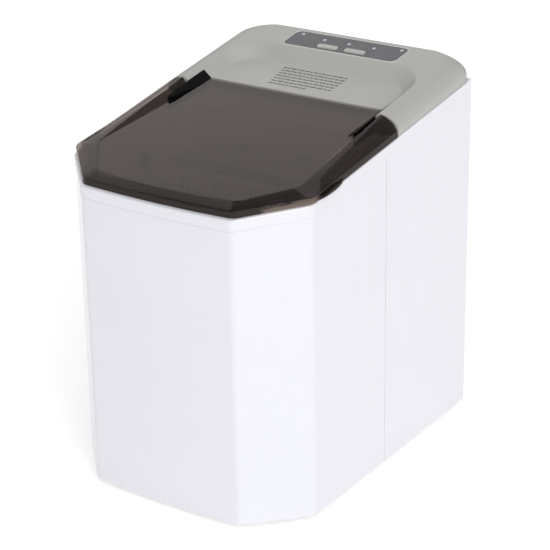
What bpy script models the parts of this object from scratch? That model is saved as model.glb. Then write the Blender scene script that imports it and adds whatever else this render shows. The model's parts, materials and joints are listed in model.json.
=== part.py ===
"""Countertop ice maker: a white two-shell case, a smoky hinged lid over the ice basket, and a grey top cover.

Metres, +Z up, +X to the right of someone facing the front, -Y to the front. The origin is on the floor, under
the middle of the case. Every place is worked out from the driving dimensions below.
"""

import math

import bmesh
import bpy
from mathutils import Matrix, Vector

# Case: plan outline and the sloping top edge.
HALF_WIDTH = 0.1151
FRONT = -0.1504
REAR = 0.1478
CUT_X = 0.0430
CUT_Y = 0.0479
BOW = 0.0026
WALL = 0.0024
GAP = 0.0003
FLOOR_Z = 0.004
EDGE_Y = -0.1475
EDGE_Z = 0.2675
EDGE_SLOPE = 0.1341
SHELL_SEAM_Y = 0.0070
RIM_HEIGHT = 0.0092
RIM_REAR = 0.0247

# Lid window, and the crests that rise on both sides of it and run on over the cover.
WINDOW_RISE = 0.0083
CREST_START_Y = -0.0930
CREST_BEND_Y = 0.0245
LID_CREST_SLOPE = 0.2017
COVER_CREST_SLOPE = 0.1660
BAND_INNER_X = 0.0855
BAND_OUTER_X = 0.0965

# Hinge line of the lid.
HINGE_Y = 0.0445
HINGE_R = 0.0034
PIN_R = 0.0014
WING_REACH = 0.02185
BAY_HALF = 0.0932
SHELF_Y = 0.0483

# Control panel on the cover.
PANEL_X = 0.002
PANEL_Y = 0.1255
PANEL_SIZE = (0.113, 0.0274)
BUTTON_PITCH = 0.0274
BUTTON_Y = 0.1185
BUTTON_SIZE = (0.0208, 0.0066)
LED_PITCH = 0.0250
LED_SHIFT = 0.0015
LED_COUNT = 5
LED_R = 0.0016

# Ice compartment.
LEDGE_Z = 0.226
TANK_FLOOR_Z = 0.062
TANK_REAR = 0.014
BASKET_FLOOR_Z = 0.142
BASKET_REAR = -0.044
TRAY_Y = -0.0145
TRAY_Z = 0.232
TRAY_R = 0.021
TRAY_HALF = 0.062
FINGER_R = 0.0055
FINGER_PITCH = 0.025
SHOVEL_Y = -0.0415
SHOVEL_PITCH = 0.034

# Machine compartment.
COMPRESSOR = (0.040, 0.088)
COMPRESSOR_R = 0.043
FAN_Y = 0.0915
FAN_Z = 0.0975
FAN_R = 0.040
DRAIN = (0.096, 0.026)
GLAND = (-0.090, 0.028)

CORNER_STEPS = 3
BOW_STEPS = 8
ROUND_STEPS = 20


def clear_scene():
    for obj in list(bpy.data.objects):
        bpy.data.objects.remove(obj, do_unlink=True)


# ---------------------------------------------------------------- heights

def edge_z(y):
    """Top edge of the white case."""
    return EDGE_Z + EDGE_SLOPE * (y - EDGE_Y)


def window_z(y):
    """Plane of the lid's window and of the shelf behind it."""
    return edge_z(y) + WINDOW_RISE


def crest_z(y):
    """Height of the side crests, which leave the window plane at CREST_START_Y."""
    lid_part = min(max(y, CREST_START_Y), CREST_BEND_Y)
    cover_part = max(y, CREST_BEND_Y)
    rise = LID_CREST_SLOPE * (lid_part - CREST_START_Y) + COVER_CREST_SLOPE * (cover_part - CREST_BEND_Y)
    start = window_z(min(y, CREST_START_Y))
    return start + rise


def band_z(x, y):
    """Sloping band between the window plane and the crest."""
    share = (abs(x) - BAND_INNER_X) / (BAND_OUTER_X - BAND_INNER_X)
    return window_z(y) + (crest_z(y) - window_z(y)) * min(max(share, 0.0), 1.0)


HINGE_Z = window_z(HINGE_Y) - HINGE_R


# ---------------------------------------------------------------- outlines

def rounded(corners, steps=CORNER_STEPS):
    """Points of a polygon given as (x, y, radius); a corner with a radius becomes an arc."""
    points = []
    for i, (x, y, radius) in enumerate(corners):
        here = Vector((x, y))
        if radius <= 0:
            points.append((x, y))
            continue
        to_last = (Vector(corners[i - 1][:2]) - here).normalized()
        to_next = (Vector(corners[(i + 1) % len(corners)][:2]) - here).normalized()
        half = math.acos(max(-1.0, min(1.0, to_last.dot(to_next)))) / 2
        reach = radius / math.tan(half)
        middle = here + (to_last + to_next).normalized() * (radius / math.sin(half))
        start = here + to_last * reach - middle
        turn = start.angle_signed(here + to_next * reach - middle)
        for k in range(steps + 1):
            arm = start.copy()
            arm.rotate(Matrix.Rotation(-turn * k / steps, 2))
            points.append(tuple(middle + arm))
    return points


def plan(half_width, front, rear, cut=(CUT_X, CUT_Y), bow=BOW, radius=0.007, rear_radius=0.003,
         stations=()):
    """The case's plan: a bowed front, two cut front corners and straight sides, counter-clockwise."""
    flat = half_width - cut[0]
    corners = []
    for i in range(BOW_STEPS + 1):
        x = flat * (2 * i / BOW_STEPS - 1)
        at_end = i in (0, BOW_STEPS)
        corners.append((x, front + bow * (x / flat) ** 2, radius if at_end else 0))
    corners.append((half_width, front + cut[1], radius))
    corners += [(half_width, y, 0) for y in stations]
    corners.append((half_width, rear, rear_radius))
    corners.append((-half_width, rear, rear_radius))
    corners += [(-half_width, y, 0) for y in reversed(stations)]
    corners.append((-half_width, front + cut[1], radius))
    return rounded(corners)


def case_plan(inset, rear=None, **more):
    """The case's plan moved inwards by inset."""
    cut = (CUT_X - 0.57 * inset, CUT_Y - 0.57 * inset)
    return plan(HALF_WIDTH - inset, FRONT + inset, REAR - inset if rear is None else rear, cut=cut, **more)


def rectangle(x_low, x_high, y_low, y_high, radius, steps=CORNER_STEPS):
    corners = [(x_low, y_low, radius), (x_high, y_low, radius), (x_high, y_high, radius),
               (x_low, y_high, radius)]
    return rounded(corners, steps)


def circle(radius, steps=ROUND_STEPS):
    turns = (2 * math.pi * i / steps for i in range(steps))
    return [(radius * math.cos(a), radius * math.sin(a)) for a in turns]


def at_height(outline, height):
    """Outline lifted to a height, which is a number or a function of y."""
    if callable(height):
        return [(x, y, height(y)) for x, y in outline]
    return [(x, y, height) for x, y in outline]


# ---------------------------------------------------------------- solids

def finish(name, bm, material=None, smooth=30):
    bmesh.ops.recalc_face_normals(bm, faces=bm.faces)
    mesh = bpy.data.meshes.new(name)
    bm.to_mesh(mesh)
    bm.free()
    if smooth:
        mesh.shade_smooth()
        mesh.set_sharp_from_angle(angle=math.radians(smooth))
    obj = bpy.data.objects.new(name, mesh)
    bpy.context.scene.collection.objects.link(obj)
    if material:
        mesh.materials.append(material)
    return obj


def cap_strips(bm, row):
    """Fills a ring made by plan() with strips across it, so that its height may follow y."""
    front = (BOW_STEPS - 1) // 2 + CORNER_STEPS + 1
    pairs = [(row[front + k], row[front - k]) for k in range((len(row) + 1) // 2)]
    for near, far in zip(pairs, pairs[1:]):
        corners = [near[0], far[0], far[1], near[1]]
        bm.faces.new(corners if near[0] is not near[1] else corners[:3])


def loft(name, rings, material=None, caps=True, smooth=30, strips=False):
    """Skin over rings with equal point counts; without caps the last ring joins the first."""
    bm = bmesh.new()
    rows = [[bm.verts.new(point) for point in ring] for ring in rings]
    pairs = list(zip(rows, rows[1:])) + ([] if caps else [(rows[-1], rows[0])])
    for low, high in pairs:
        for i in range(len(low)):
            j = (i + 1) % len(low)
            bm.faces.new((low[i], low[j], high[j], high[i]))
    if strips:
        cap_strips(bm, rows[0])
        cap_strips(bm, rows[-1])
    elif caps:
        bm.faces.new(rows[0][::-1])
        bm.faces.new(rows[-1])
    return finish(name, bm, material, smooth)


def prism(name, outline, low, high, axis="Z", material=None, smooth=30):
    """Outline extruded along an axis. Its two coordinates are the other axes, in X, Y, Z order."""
    place = {"X": lambda a, b, c: (c, a, b), "Y": lambda a, b, c: (a, c, b),
             "Z": lambda a, b, c: (a, b, c)}[axis]
    rings = [[place(a, b, level) for a, b in outline] for level in (low, high)]
    return loft(name, rings, material, smooth=smooth)


def box(name, low, high, material=None):
    outline = [(low[0], low[1]), (high[0], low[1]), (high[0], high[1]), (low[0], high[1])]
    return prism(name, outline, low[2], high[2], "Z", material, smooth=0)


def turned(name, profile, centre, axis="Z", material=None, caps=True, steps=ROUND_STEPS):
    """Profile of (radius, distance along the axis) turned about the axis through centre."""
    rings = []
    for radius, along in profile:
        ring = []
        for a, b in circle(radius, steps):
            local = {"X": (along, a, b), "Y": (a, along, b), "Z": (a, b, along)}[axis]
            ring.append(tuple(Vector(local) + Vector(centre)))
        rings.append(ring)
    return loft(name, rings, material, caps=caps)


def on_axis(obj, point):
    """Puts the object's origin at a point on its joint's axis, and leaves the shape where it is."""
    obj.data.transform(Matrix.Translation(-Vector(point)))
    obj.location = point
    return obj


def combine(target, other, operation="DIFFERENCE"):
    """Applies a Boolean to the target at once and removes the other object."""
    modifier = target.modifiers.new("combine", "BOOLEAN")
    modifier.operation = operation
    modifier.solver = "EXACT"
    modifier.object = other
    graph = bpy.context.evaluated_depsgraph_get()
    mesh = bpy.data.meshes.new_from_object(target.evaluated_get(graph))
    target.modifiers.clear()
    target.data = mesh
    bpy.data.objects.remove(other, do_unlink=True)
    return target


def cut(target, *others):
    for other in others:
        combine(target, other, "DIFFERENCE")
    return target


def add(target, *others):
    for other in others:
        combine(target, other, "UNION")
    return target


def tube(name, points, radius, material):
    """Round tube along a smooth curve through the points, with closed ends."""
    curve = bpy.data.curves.new(name, "CURVE")
    curve.dimensions = "3D"
    curve.bevel_depth = radius
    curve.bevel_resolution = 2
    curve.use_fill_caps = True
    spline = curve.splines.new("POLY")
    smooth = through(points, radius * 3)
    spline.points.add(len(smooth) - 1)
    for target, point in zip(spline.points, smooth):
        target.co = (*point, 1.0)
    obj = bpy.data.objects.new(name, curve)
    bpy.context.scene.collection.objects.link(obj)
    curve.materials.append(material)
    return obj


def through(points, spacing):
    """Points of a Catmull-Rom curve through the given points, about spacing apart."""
    knots = [Vector(p) for p in points]
    knots = [2 * knots[0] - knots[1]] + knots + [2 * knots[-1] - knots[-2]]
    result = [knots[1]]
    for a, b, c, d in zip(knots, knots[1:], knots[2:], knots[3:]):
        steps = max(1, round((c - b).length / spacing))
        for k in range(1, steps + 1):
            t = k / steps
            bend = 2 * b + (c - a) * t + (2 * a - 5 * b + 4 * c - d) * t ** 2 + (3 * b - a - 3 * c + d) * t ** 3
            result.append(bend / 2)
    return result


# ---------------------------------------------------------------- materials

def principled(name, colour, roughness, metallic=0.0, alpha=1.0):
    material = bpy.data.materials.new(name)
    material.use_nodes = True
    shader = material.node_tree.nodes["Principled BSDF"]
    shader.inputs["Base Color"].default_value = (*colour, 1.0)
    shader.inputs["Roughness"].default_value = roughness
    shader.inputs["Metallic"].default_value = metallic
    shader.inputs["Alpha"].default_value = alpha
    return material


def make_materials():
    return {
        "white": principled("white_gloss", (0.80, 0.80, 0.84), 0.22),
        "liner": principled("liner_white", (0.72, 0.72, 0.71), 0.40),
        "grey": principled("cover_grey", (0.49, 0.48, 0.45), 0.42),
        "smoke": principled("lid_smoke", (0.09, 0.08, 0.07), 0.08, alpha=0.6),
        "black": principled("hinge_black", (0.012, 0.012, 0.012), 0.35),
        "charcoal": principled("panel_charcoal", (0.105, 0.098, 0.12), 0.30),
        "silver": principled("button_silver", (0.62, 0.61, 0.58), 0.35),
        "clear": principled("light_guide", (0.75, 0.75, 0.76), 0.25),
        "basket": principled("basket_grey", (0.55, 0.55, 0.54), 0.40),
        "steel": principled("steel", (0.60, 0.60, 0.60), 0.30, metallic=1.0),
        "copper": principled("copper", (0.62, 0.28, 0.16), 0.32, metallic=1.0),
        "fins": principled("aluminium_fins", (0.70, 0.71, 0.72), 0.38, metallic=1.0),
        "enamel": principled("compressor_black", (0.02, 0.02, 0.022), 0.40),
        "rubber": principled("rubber", (0.03, 0.03, 0.03), 0.75),
        "foam": principled("foam", (0.78, 0.74, 0.62), 0.90),
        "board": principled("circuit_board", (0.03, 0.16, 0.07), 0.45),
        "hose": principled("silicone_hose", (0.70, 0.70, 0.68), 0.50),
    }


# ---------------------------------------------------------------- case

def case_wall(name, material):
    """Full ring of the case wall, lowered where the tank's rim covers it."""
    outer = case_plan(0.0)
    inner = case_plan(WALL)
    rings = [at_height(outer, FLOOR_Z), at_height(outer, edge_z), at_height(inner, edge_z),
             at_height(inner, FLOOR_Z)]
    wall = loft(name, rings, material, caps=False)
    shelf = [(y, edge_z(y) - RIM_HEIGHT - GAP) for y in (FRONT - 0.01, RIM_REAR + GAP)]
    above = [(RIM_REAR + GAP, edge_z(0.2)), (FRONT - 0.01, edge_z(0.2))]
    return cut(wall, prism("rim_pocket", shelf + above, -0.2, 0.2, "X"))


def half_space(name, y_low, y_high):
    return box(name, (-0.2, y_low, -0.1), (0.2, y_high, 0.5))


def make_front_shell(paint):
    return cut(case_wall("front_shell", paint), half_space("behind", SHELL_SEAM_Y - GAP / 2, 0.3))


def vent_slots(name, count, pitch, size, place):
    """Cutter of upright slots side by side; place turns (across, up) into world axes."""
    bm = bmesh.new()
    for i in range(count):
        across = (i - (count - 1) / 2) * pitch
        corners = bmesh.ops.create_cube(bm, size=1.0)["verts"]
        for vert in corners:
            vert.co = place(across + vert.co.x * size[0], vert.co.z * size[1], vert.co.y)
    return finish(name, bm, smooth=0)


def make_rear_shell(paint):
    shell = cut(case_wall("rear_shell", paint), half_space("ahead", -0.3, SHELL_SEAM_Y + GAP / 2))
    lip_outline = rectangle(-0.1085, 0.1085, REAR - 0.001, 0.1505, 0.0012)
    add(shell, prism("lip", lip_outline, 0.2955, 0.3066, "Z"))
    rear_vent = vent_slots("rear_vent", 15, 0.0085, (0.0035, 0.090),
                           lambda a, b, c: (a, REAR + c * 0.01, 0.150 + b))
    side_vent = vent_slots("side_vent", 10, 0.0085, (0.0035, 0.100),
                           lambda a, b, c: (-HALF_WIDTH + c * 0.01,
                                                                                  FAN_Y + a, FAN_Z + b))
    drain_hole = turned("drain_hole", [(0.0075, -0.01), (0.0075, 0.01)], (DRAIN[0], REAR, DRAIN[1]), "Y")
    gland_hole = turned("gland_hole", [(0.0068, -0.01), (0.0068, 0.01)], (GLAND[0], REAR, GLAND[1]), "Y")
    return cut(shell, rear_vent, side_vent, drain_hole, gland_hole)


FOOT_PLACES = {"front_left": (-0.080, -0.105), "front_right": (0.080, -0.105),
               "rear_left": (-0.088, 0.122), "rear_right": (0.088, 0.122)}


def make_base(plastic, rubber):
    pan = loft("base_pan", [at_height(case_plan(WALL + GAP), z) for z in (FLOOR_Z, FLOOR_Z + 0.0026)],
               plastic)
    for x, y in FOOT_PLACES.values():
        cut(pan, turned("stem_hole", [(0.0035, -0.01), (0.0035, 0.02)], (x, y, 0)))
    cut(pan,
        vent_slots("pan_vent", 9, 0.009, (0.004, 0.050), lambda a, b, c: (0.02 + a, 0.088 + b, c * 0.05)))
    for name, (x, y) in FOOT_PLACES.items():
        profile = [(0.0078, 0), (0.0088, 0.0012), (0.0095, FLOOR_Z - GAP), (0.0032, FLOOR_Z - GAP),
                   (0.0032, 0.0085)]
        turned("foot_" + name, profile, (x, y, 0), material=rubber)


# ---------------------------------------------------------------- ice compartment

def tank_plan(half_width, front, rear=TANK_REAR, radius=0.010):
    return plan(half_width, front, rear, cut=(0.030, 0.036), bow=0.004, radius=radius, rear_radius=0.009)


def make_tank(liner):
    rings = [
        at_height(tank_plan(0.0910, -0.1310, 0.0060), TANK_FLOOR_Z),
        at_height(tank_plan(0.0940, -0.1340, 0.0090), LEDGE_Z),
        at_height(tank_plan(0.0985, -0.1385, 0.0135), LEDGE_Z),
        at_height(tank_plan(0.1000, -0.1400), edge_z),
        at_height(case_plan(-0.0004, rear=RIM_REAR, rear_radius=0.001), edge_z),
        at_height(case_plan(-0.0004, rear=RIM_REAR, rear_radius=0.001), lambda y: edge_z(y) - RIM_HEIGHT),
        at_height(case_plan(0.0020, rear=RIM_REAR - 0.002, rear_radius=0.001),
                  lambda y: edge_z(y) - RIM_HEIGHT),
        at_height(case_plan(0.0020, rear=RIM_REAR - 0.002, rear_radius=0.001), lambda y: edge_z(y) - WALL),
        at_height(tank_plan(0.1022, -0.1422, 0.0164), lambda y: edge_z(y) - WALL),
        at_height(tank_plan(0.1009, -0.1409, 0.0159), LEDGE_Z - WALL),
        at_height(tank_plan(0.0964, -0.1364, 0.0114), LEDGE_Z - WALL),
        at_height(tank_plan(0.0934, -0.1334, 0.0084), TANK_FLOOR_Z - WALL),
    ]
    tank = loft("inner_tank", rings, liner)
    drain = turned("drain_bore", [(0.004, -0.01), (0.004, 0.01)], (DRAIN[0] - 0.03, -0.03, TANK_FLOOR_Z))
    for x in (-0.030, 0.030):
        cut(tank, turned("pipe_bore", [(0.0050, -0.02), (0.0050, 0.02)], (x, 0.012, 0.2575), "Y"))
    return cut(tank, drain)


def make_insulation(foam):
    rings = [
        at_height(tank_plan(0.0940, -0.1340, 0.0092), 0.0590),
        at_height(tank_plan(0.0971, -0.1371, 0.0122), 0.2200),
        at_height(case_plan(WALL + 0.0025, rear=0.0240), 0.2200),
        at_height(case_plan(WALL + 0.0025, rear=0.0240), 0.0510),
    ]
    block = loft("tank_insulation", rings, foam)
    return cut(block,
               turned("hose_bore", [(0.0070, -0.02), (0.0070, 0.02)], (DRAIN[0] - 0.03, -0.03, 0.055)))


def make_basket(plastic):
    def basket_plan(half_width, front, rear):
        return plan(half_width, front, rear, cut=(0.030, 0.036), bow=0.004, radius=0.008, rear_radius=0.006)

    top = LEDGE_Z + GAP + 0.0025
    rings = [
        at_height(basket_plan(0.0860, -0.1270, BASKET_REAR - 0.004), BASKET_FLOOR_Z + 0.002),
        at_height(basket_plan(0.0885, -0.1295, BASKET_REAR - 0.002), top),
        at_height(basket_plan(0.0975, -0.1375, BASKET_REAR), top),
        at_height(basket_plan(0.0975, -0.1375, BASKET_REAR), LEDGE_Z + GAP),
        at_height(basket_plan(0.0905, -0.1315, BASKET_REAR - 0.0002), LEDGE_Z + GAP),
        at_height(basket_plan(0.0880, -0.1290, BASKET_REAR - 0.002), BASKET_FLOOR_Z),
    ]
    basket = loft("ice_basket", rings, plastic)
    middle_y = (BASKET_REAR - 0.1315) / 2
    wall_slots = vent_slots("wall_slots", 7, 0.017, (0.006, 0.046),
                            lambda a, b, c: (a, middle_y + c * 0.15, 0.185 + b))
    side_slots = vent_slots("side_slots", 3, 0.017, (0.006, 0.046),
                            lambda a, b, c: (c * 0.3, middle_y + 0.006 + a, 0.185 + b))
    floor_slots = vent_slots("floor_slots", 7, 0.017, (0.006, 0.050),
                             lambda a, b, c: (a, middle_y + 0.006 + b, BASKET_FLOOR_Z + c * 0.02))
    low_rear = box("low_rear", (-0.0865, BASKET_REAR - 0.0080, 0.2010), (0.0865, BASKET_REAR + 0.01, 0.24))
    cut(basket, wall_slots, side_slots, floor_slots, low_rear)
    return on_axis(basket, (0, BASKET_REAR, BASKET_FLOOR_Z))


def arc(radius, start, end, steps=14):
    turns = [math.radians(start + (end - start) * i / steps) for i in range(steps + 1)]
    return [(TRAY_Y + radius * math.cos(a), TRAY_Z + radius * math.sin(a)) for a in turns]


def make_tray(plastic):
    tray = prism("water_tray", arc(TRAY_R + 0.002, 195, 345), -TRAY_HALF, TRAY_HALF, "X", plastic)
    hollow = arc(TRAY_R, 190, 350) + [(TRAY_Y + 0.03, TRAY_Z + 0.02), (TRAY_Y - 0.03, TRAY_Z + 0.02)]
    cut(tray, prism("trough", hollow, 0.002 - TRAY_HALF, TRAY_HALF - 0.002, "X"))
    for side in (-1, 1):
        ear = [(TRAY_Y - 0.012, TRAY_Z - 0.014), (TRAY_Y + 0.012, TRAY_Z - 0.014),
               (TRAY_Y + 0.005, TRAY_Z + 0.005), (TRAY_Y - 0.005, TRAY_Z + 0.005)]
        low, high = sorted((side * (TRAY_HALF - 0.0019), side * (TRAY_HALF + 0.001)))
        add(tray, prism("ear", ear, low, high, "X"))
    return on_axis(tray, (0, TRAY_Y, TRAY_Z))


def make_evaporator(steel):
    """Refrigerant block with nine fingers that dip into the water tray."""
    block = box("evaporator", (-0.062, TRAY_Y - 0.016, 0.2545), (0.062, TRAY_Y + 0.016, 0.2605), steel)
    for row, count in ((-1, 5), (1, 4)):
        for i in range(count):
            x = (i - (count - 1) / 2) * FINGER_PITCH
            profile = [(0.002, -0.0200), (0.0045, -0.0180), (FINGER_R, -0.0140), (FINGER_R, 0.0230)]
            add(block, turned("finger", profile, (x, TRAY_Y + row * 0.0075, TRAY_Z + 0.0035), steps=10))
    return block


def make_shovel(plastic):
    """Comb that pushes the ice forward over the basket's rear edge."""
    comb = box("ice_shovel", (-0.085, SHOVEL_Y, 0.2360), (0.085, SHOVEL_Y + 0.0025, 0.2540), plastic)
    cut(comb, vent_slots("comb_gaps", 4, SHOVEL_PITCH, (0.009, 0.026),
                         lambda a, b, c: (a, SHOVEL_Y + c * 0.02, 0.2360 + b)))
    for side in (-1, 1):
        low, high = sorted((side * 0.0825, side * 0.085))
        add(comb, box("arm", (low, SHOVEL_Y + 0.001, 0.2490), (high, -0.004, 0.2540)))
    return on_axis(comb, (0, SHOVEL_Y, 0.2450))


def make_wet_parts(mats):
    motor = turned("tilt_motor", [(0.0125, 0.0720), (0.0130, 0.0735), (0.0130, 0.0900)],
                   (0, TRAY_Y, TRAY_Z), "X",
                   mats["enamel"])
    add(motor,
        turned("shaft", [(0.0022, TRAY_HALF + 0.0013), (0.0022, 0.0730)], (0, TRAY_Y, TRAY_Z), "X",
               steps=10))
    pump = turned("water_pump", [(0.0150, 0.0623), (0.0150, 0.0850), (0.0130, 0.0870), (0.0130, 0.0950)],
                  (0.068, -0.012, 0), material=mats["enamel"])
    add(pump, turned("spout", [(0.0040, 0.0940), (0.0040, 0.1000)], (0.068, -0.012, 0), steps=12))
    hose = [(0.068, -0.012, 0.1004), (0.0685, -0.012, 0.120), (0.0705, -0.006, 0.170),
            (0.0715, 0.0005, 0.205),
            (0.0715, 0.0005, 0.211)]
    tube("pump_hose", hose, 0.0035, mats["hose"])
    box("water_level_sensor", (-0.0850, -0.010, TANK_FLOOR_Z + GAP), (-0.0770, -0.002, 0.110),
        mats["enamel"])
    for side, name in ((-1, "ice_sensor_left"), (1, "ice_sensor_right")):
        place = (side * 0.0982, -0.034, 0.2500)
        turned(name, [(0.0045, -side * 0.0060), (0.0045, -side * 0.0020), (0.0065, -side * 0.0020),
                      (0.0065, 0)], place, "X", mats["enamel"], steps=12)


# ---------------------------------------------------------------- lid

def lid_levels():
    """Rings of the lid's outer skin, from the skirt's bottom edge up to the window."""
    stations = (-0.060, -0.020, CREST_BEND_Y)
    rear = HINGE_Y + 0.0006

    def skirt(y):
        return edge_z(y) + 0.0068 + 0.0014 * min(max((y - CREST_START_Y) / 0.1175, 0.0), 1.0)

    def ring(half_width, front, cut_back, radius, height, bow=BOW):
        outline = plan(half_width, front, rear, cut=cut_back, bow=bow, radius=radius, rear_radius=0.0004,
                       stations=stations)
        return at_height(outline, height)

    def part_way(share):
        return lambda y: skirt(y) + share * (crest_z(y) - skirt(y))

    rings = [
        ring(0.1155, -0.1482, (0.0435, 0.0470), 0.008, lambda y: edge_z(y) + 0.0004),
        ring(0.1152, -0.1476, (0.0432, 0.0468), 0.008, skirt),
        ring(0.1128, -0.1460, (0.0420, 0.0460), 0.010, part_way(0.50)),
        ring(0.1075, -0.1424, (0.0385, 0.0475), 0.012, part_way(0.86)),
        ring(0.0985, -0.1384, (0.0300, 0.0440), 0.012, crest_z, bow=0.0050),
    ]
    return rings


def lid_hollow():
    """Space above the window, between the two crests; its banks flatten out towards the front."""
    rings = []
    for y, inner in ((CREST_START_Y, 0.0975), (CREST_BEND_Y, BAND_INNER_X + 0.002), (0.1, BAND_INNER_X)):
        outer = 0.0979
        low, high = window_z(y), crest_z(y)
        half = [(inner, y, low), (outer, y, high + 0.0001), (outer, y, high + 0.03)]
        rings.append([(-x, y, z) for x, y, z in reversed(half)] + half)
    return loft("lid_hollow", rings)


def make_lid(smoke):
    lid = loft("lid", lid_levels(), smoke, smooth=24, strips=True)
    cut(lid, lid_hollow())
    low = plan(0.1129, -0.1454, 0.08, cut=(0.0420, 0.0460))
    high = plan(0.1050, -0.1402, 0.08, cut=(0.0370, 0.0455))
    rings = [at_height(low, lambda y: edge_z(y) - 0.004), at_height(low, lambda y: edge_z(y) + 0.0035),
             at_height(high, lambda y: window_z(y) - 0.0025)]
    cut(lid, loft("underside", rings))
    wing_end = [(HINGE_Y - math.sqrt(WING_REACH ** 2 - (0.003 * k) ** 2), HINGE_Z + 0.003 * k)
                for k in range(-5, 6)]
    behind = [(0.1, wing_end[-1][1]), (0.1, wing_end[0][1])]
    for side in (-1, 1):
        low, high = sorted((side * BAY_HALF, side * 0.13))
        cut(lid, prism("wing_cut", wing_end + behind, low, high, "X"))
        low, high = sorted((side * BAND_INNER_X, side * (BAY_HALF + 0.0001)))
        cut(lid, box("arm_slot", (low, -0.0050, 0.2), (high, 0.1050, 0.4)))
    barrel = turned("barrel", [(HINGE_R, -BAND_INNER_X), (HINGE_R, BAND_INNER_X)], (0, HINGE_Y, HINGE_Z),
                    "X")
    add(lid, barrel)
    for side in (-1, 1):
        add(lid, finger_tab(side))
        bore = turned("pin_bore", [(PIN_R + GAP, side * 0.0765), (PIN_R + GAP, side * 0.09)],
                      (0, HINGE_Y, HINGE_Z), "X", steps=12)
        cut(lid, bore)
    return on_axis(lid, (0, HINGE_Y, HINGE_Z))


def finger_tab(side):
    """Half-moon lip low on the lid's side."""
    middle, half, reach = -0.0765, 0.0165, 0.0038
    outline = []
    for k in range(11):
        turn = math.pi * k / 10
        outline.append((side * (0.1150 + reach * math.sin(turn)), middle - half * math.cos(turn)))
    outline += [(side * 0.1135, middle + half), (side * 0.1135, middle - half)]
    levels = [lambda y: edge_z(y) + 0.0004, lambda y: edge_z(y) + 0.0030]
    return loft("tab", [at_height(outline, level) for level in levels])


def make_hinges(black, steel):
    for side, name in ((-1, "left"), (1, "right")):
        inner, outer = BAND_INNER_X + GAP, BAY_HALF - 0.0005
        sections = []
        for y in (-0.0046, 0.0232):
            sections.append([(side * inner, y, edge_z(y) + 0.0015), (side * outer, y, edge_z(y) + 0.0015),
                             (side * outer, y, band_z(outer, y)), (side * inner, y, band_z(inner, y))])
        arm = loft("hinge_arm_" + name, sections, black, smooth=0)
        on_axis(arm, (0, HINGE_Y, HINGE_Z))

        sections = []
        for y in (0.0258, SHELF_Y - 0.0004):
            foot = edge_z(0.0505) + 0.0001 - 0.0011
            sections.append([(side * inner, y, foot), (side * (BAY_HALF - GAP), y, foot),
                             (side * (BAY_HALF - GAP), y, band_z(BAY_HALF, y)),
                             (side * inner, y, band_z(inner, y))])
        block = loft("hinge_block_" + name, sections, black, smooth=0)
        low, high = sorted((side * (inner - 0.004), side * (inner + 0.0045)))
        cut(block, turned("pin_bore", [(PIN_R + GAP, low), (PIN_R + GAP, high)], (0, HINGE_Y, HINGE_Z), "X",
                          steps=12))
        low, high = sorted((side * 0.0770, side * (inner + 0.0040)))
        turned("hinge_pin_" + name, [(PIN_R, low), (PIN_R, high)], (0, HINGE_Y, HINGE_Z), "X", steel,
               steps=12)


# ---------------------------------------------------------------- cover and controls

def dish(name, grow, drop):
    """Recess behind the lid: a shelf in the window plane with a sloping band round it."""
    low = rectangle(-BAND_INNER_X - grow, BAND_INNER_X + grow, -0.02, 0.0955 + grow, 0.024, 5)
    high = rectangle(-BAND_OUTER_X - grow, BAND_OUTER_X + grow, -0.02, 0.1105 + grow, 0.034, 5)
    rings = [at_height(low, lambda y: window_z(y) - drop), at_height(high, lambda y: crest_z(y) - drop),
             at_height(high, lambda y: crest_z(y) + 0.03)]
    return loft(name, rings)


def cover_ring(half_width, front, rear, radius, height):
    outline = rounded([(-half_width, front, 0), (half_width, front, 0), (half_width, rear, radius),
                       (-half_width, rear, radius)], 6)
    return at_height(outline, height)


def panel_rectangle(grow, radius):
    half_x, half_y = PANEL_SIZE[0] / 2 + grow, PANEL_SIZE[1] / 2 + grow
    return rectangle(PANEL_X - half_x, PANEL_X + half_x, PANEL_Y - half_y, PANEL_Y + half_y, radius)


def from_crest(outline, *offsets):
    """Outline repeated at offsets from the cover's top plane."""
    return [at_height(outline, lambda y, offset=offset: crest_z(y) + offset) for offset in offsets]


def make_cover(grey):
    front = 0.0252
    def part_way(share):
        return lambda y: edge_z(y) + share * (crest_z(y) - edge_z(y))

    rings = [
        cover_ring(0.1148, front, 0.1494, 0.016, lambda y: edge_z(y) + GAP),
        cover_ring(0.1148, front, 0.1494, 0.016, part_way(0.34)),
        cover_ring(0.1140, front, 0.1488, 0.017, part_way(0.49)),
        cover_ring(0.1115, front, 0.1479, 0.019, part_way(0.67)),
        cover_ring(0.1080, front, 0.1468, 0.021, part_way(0.82)),
        cover_ring(0.1040, front, 0.1458, 0.023, part_way(0.93)),
        cover_ring(0.0980, front, 0.1450, 0.024, crest_z),
    ]
    cover = loft("top_cover", rings, grey)
    rings = [
        cover_ring(0.1124, SHELF_Y + WALL, 0.1468, 0.013, lambda y: edge_z(y) - 0.005),
        cover_ring(0.1124, SHELF_Y + WALL, 0.1468, 0.013, part_way(0.28)),
        cover_ring(0.1082, SHELF_Y + WALL, 0.1454, 0.017, part_way(0.58)),
        cover_ring(0.0960, SHELF_Y + WALL, 0.1430, 0.021, lambda y: crest_z(y) - 0.0032),
    ]
    hollow = cut(loft("hollow", rings), dish("dish_wall", 0.0024, 0.0026))
    bay = box("bay", (-BAY_HALF, -0.1, 0.25), (BAY_HALF, SHELF_Y, 0.4))
    pocket = loft("panel_pocket", from_crest(panel_rectangle(GAP, 0.0053), -0.0013, 0.01))
    window = loft("panel_window", from_crest(panel_rectangle(-0.0015, 0.0038), -0.01, 0.01))
    return cut(cover, bay, dish("dish", 0.0, 0.0), hollow, pocket, window)


def button_places():
    return {"power_button": PANEL_X - BUTTON_PITCH / 2, "select_button": PANEL_X + BUTTON_PITCH / 2}


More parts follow.
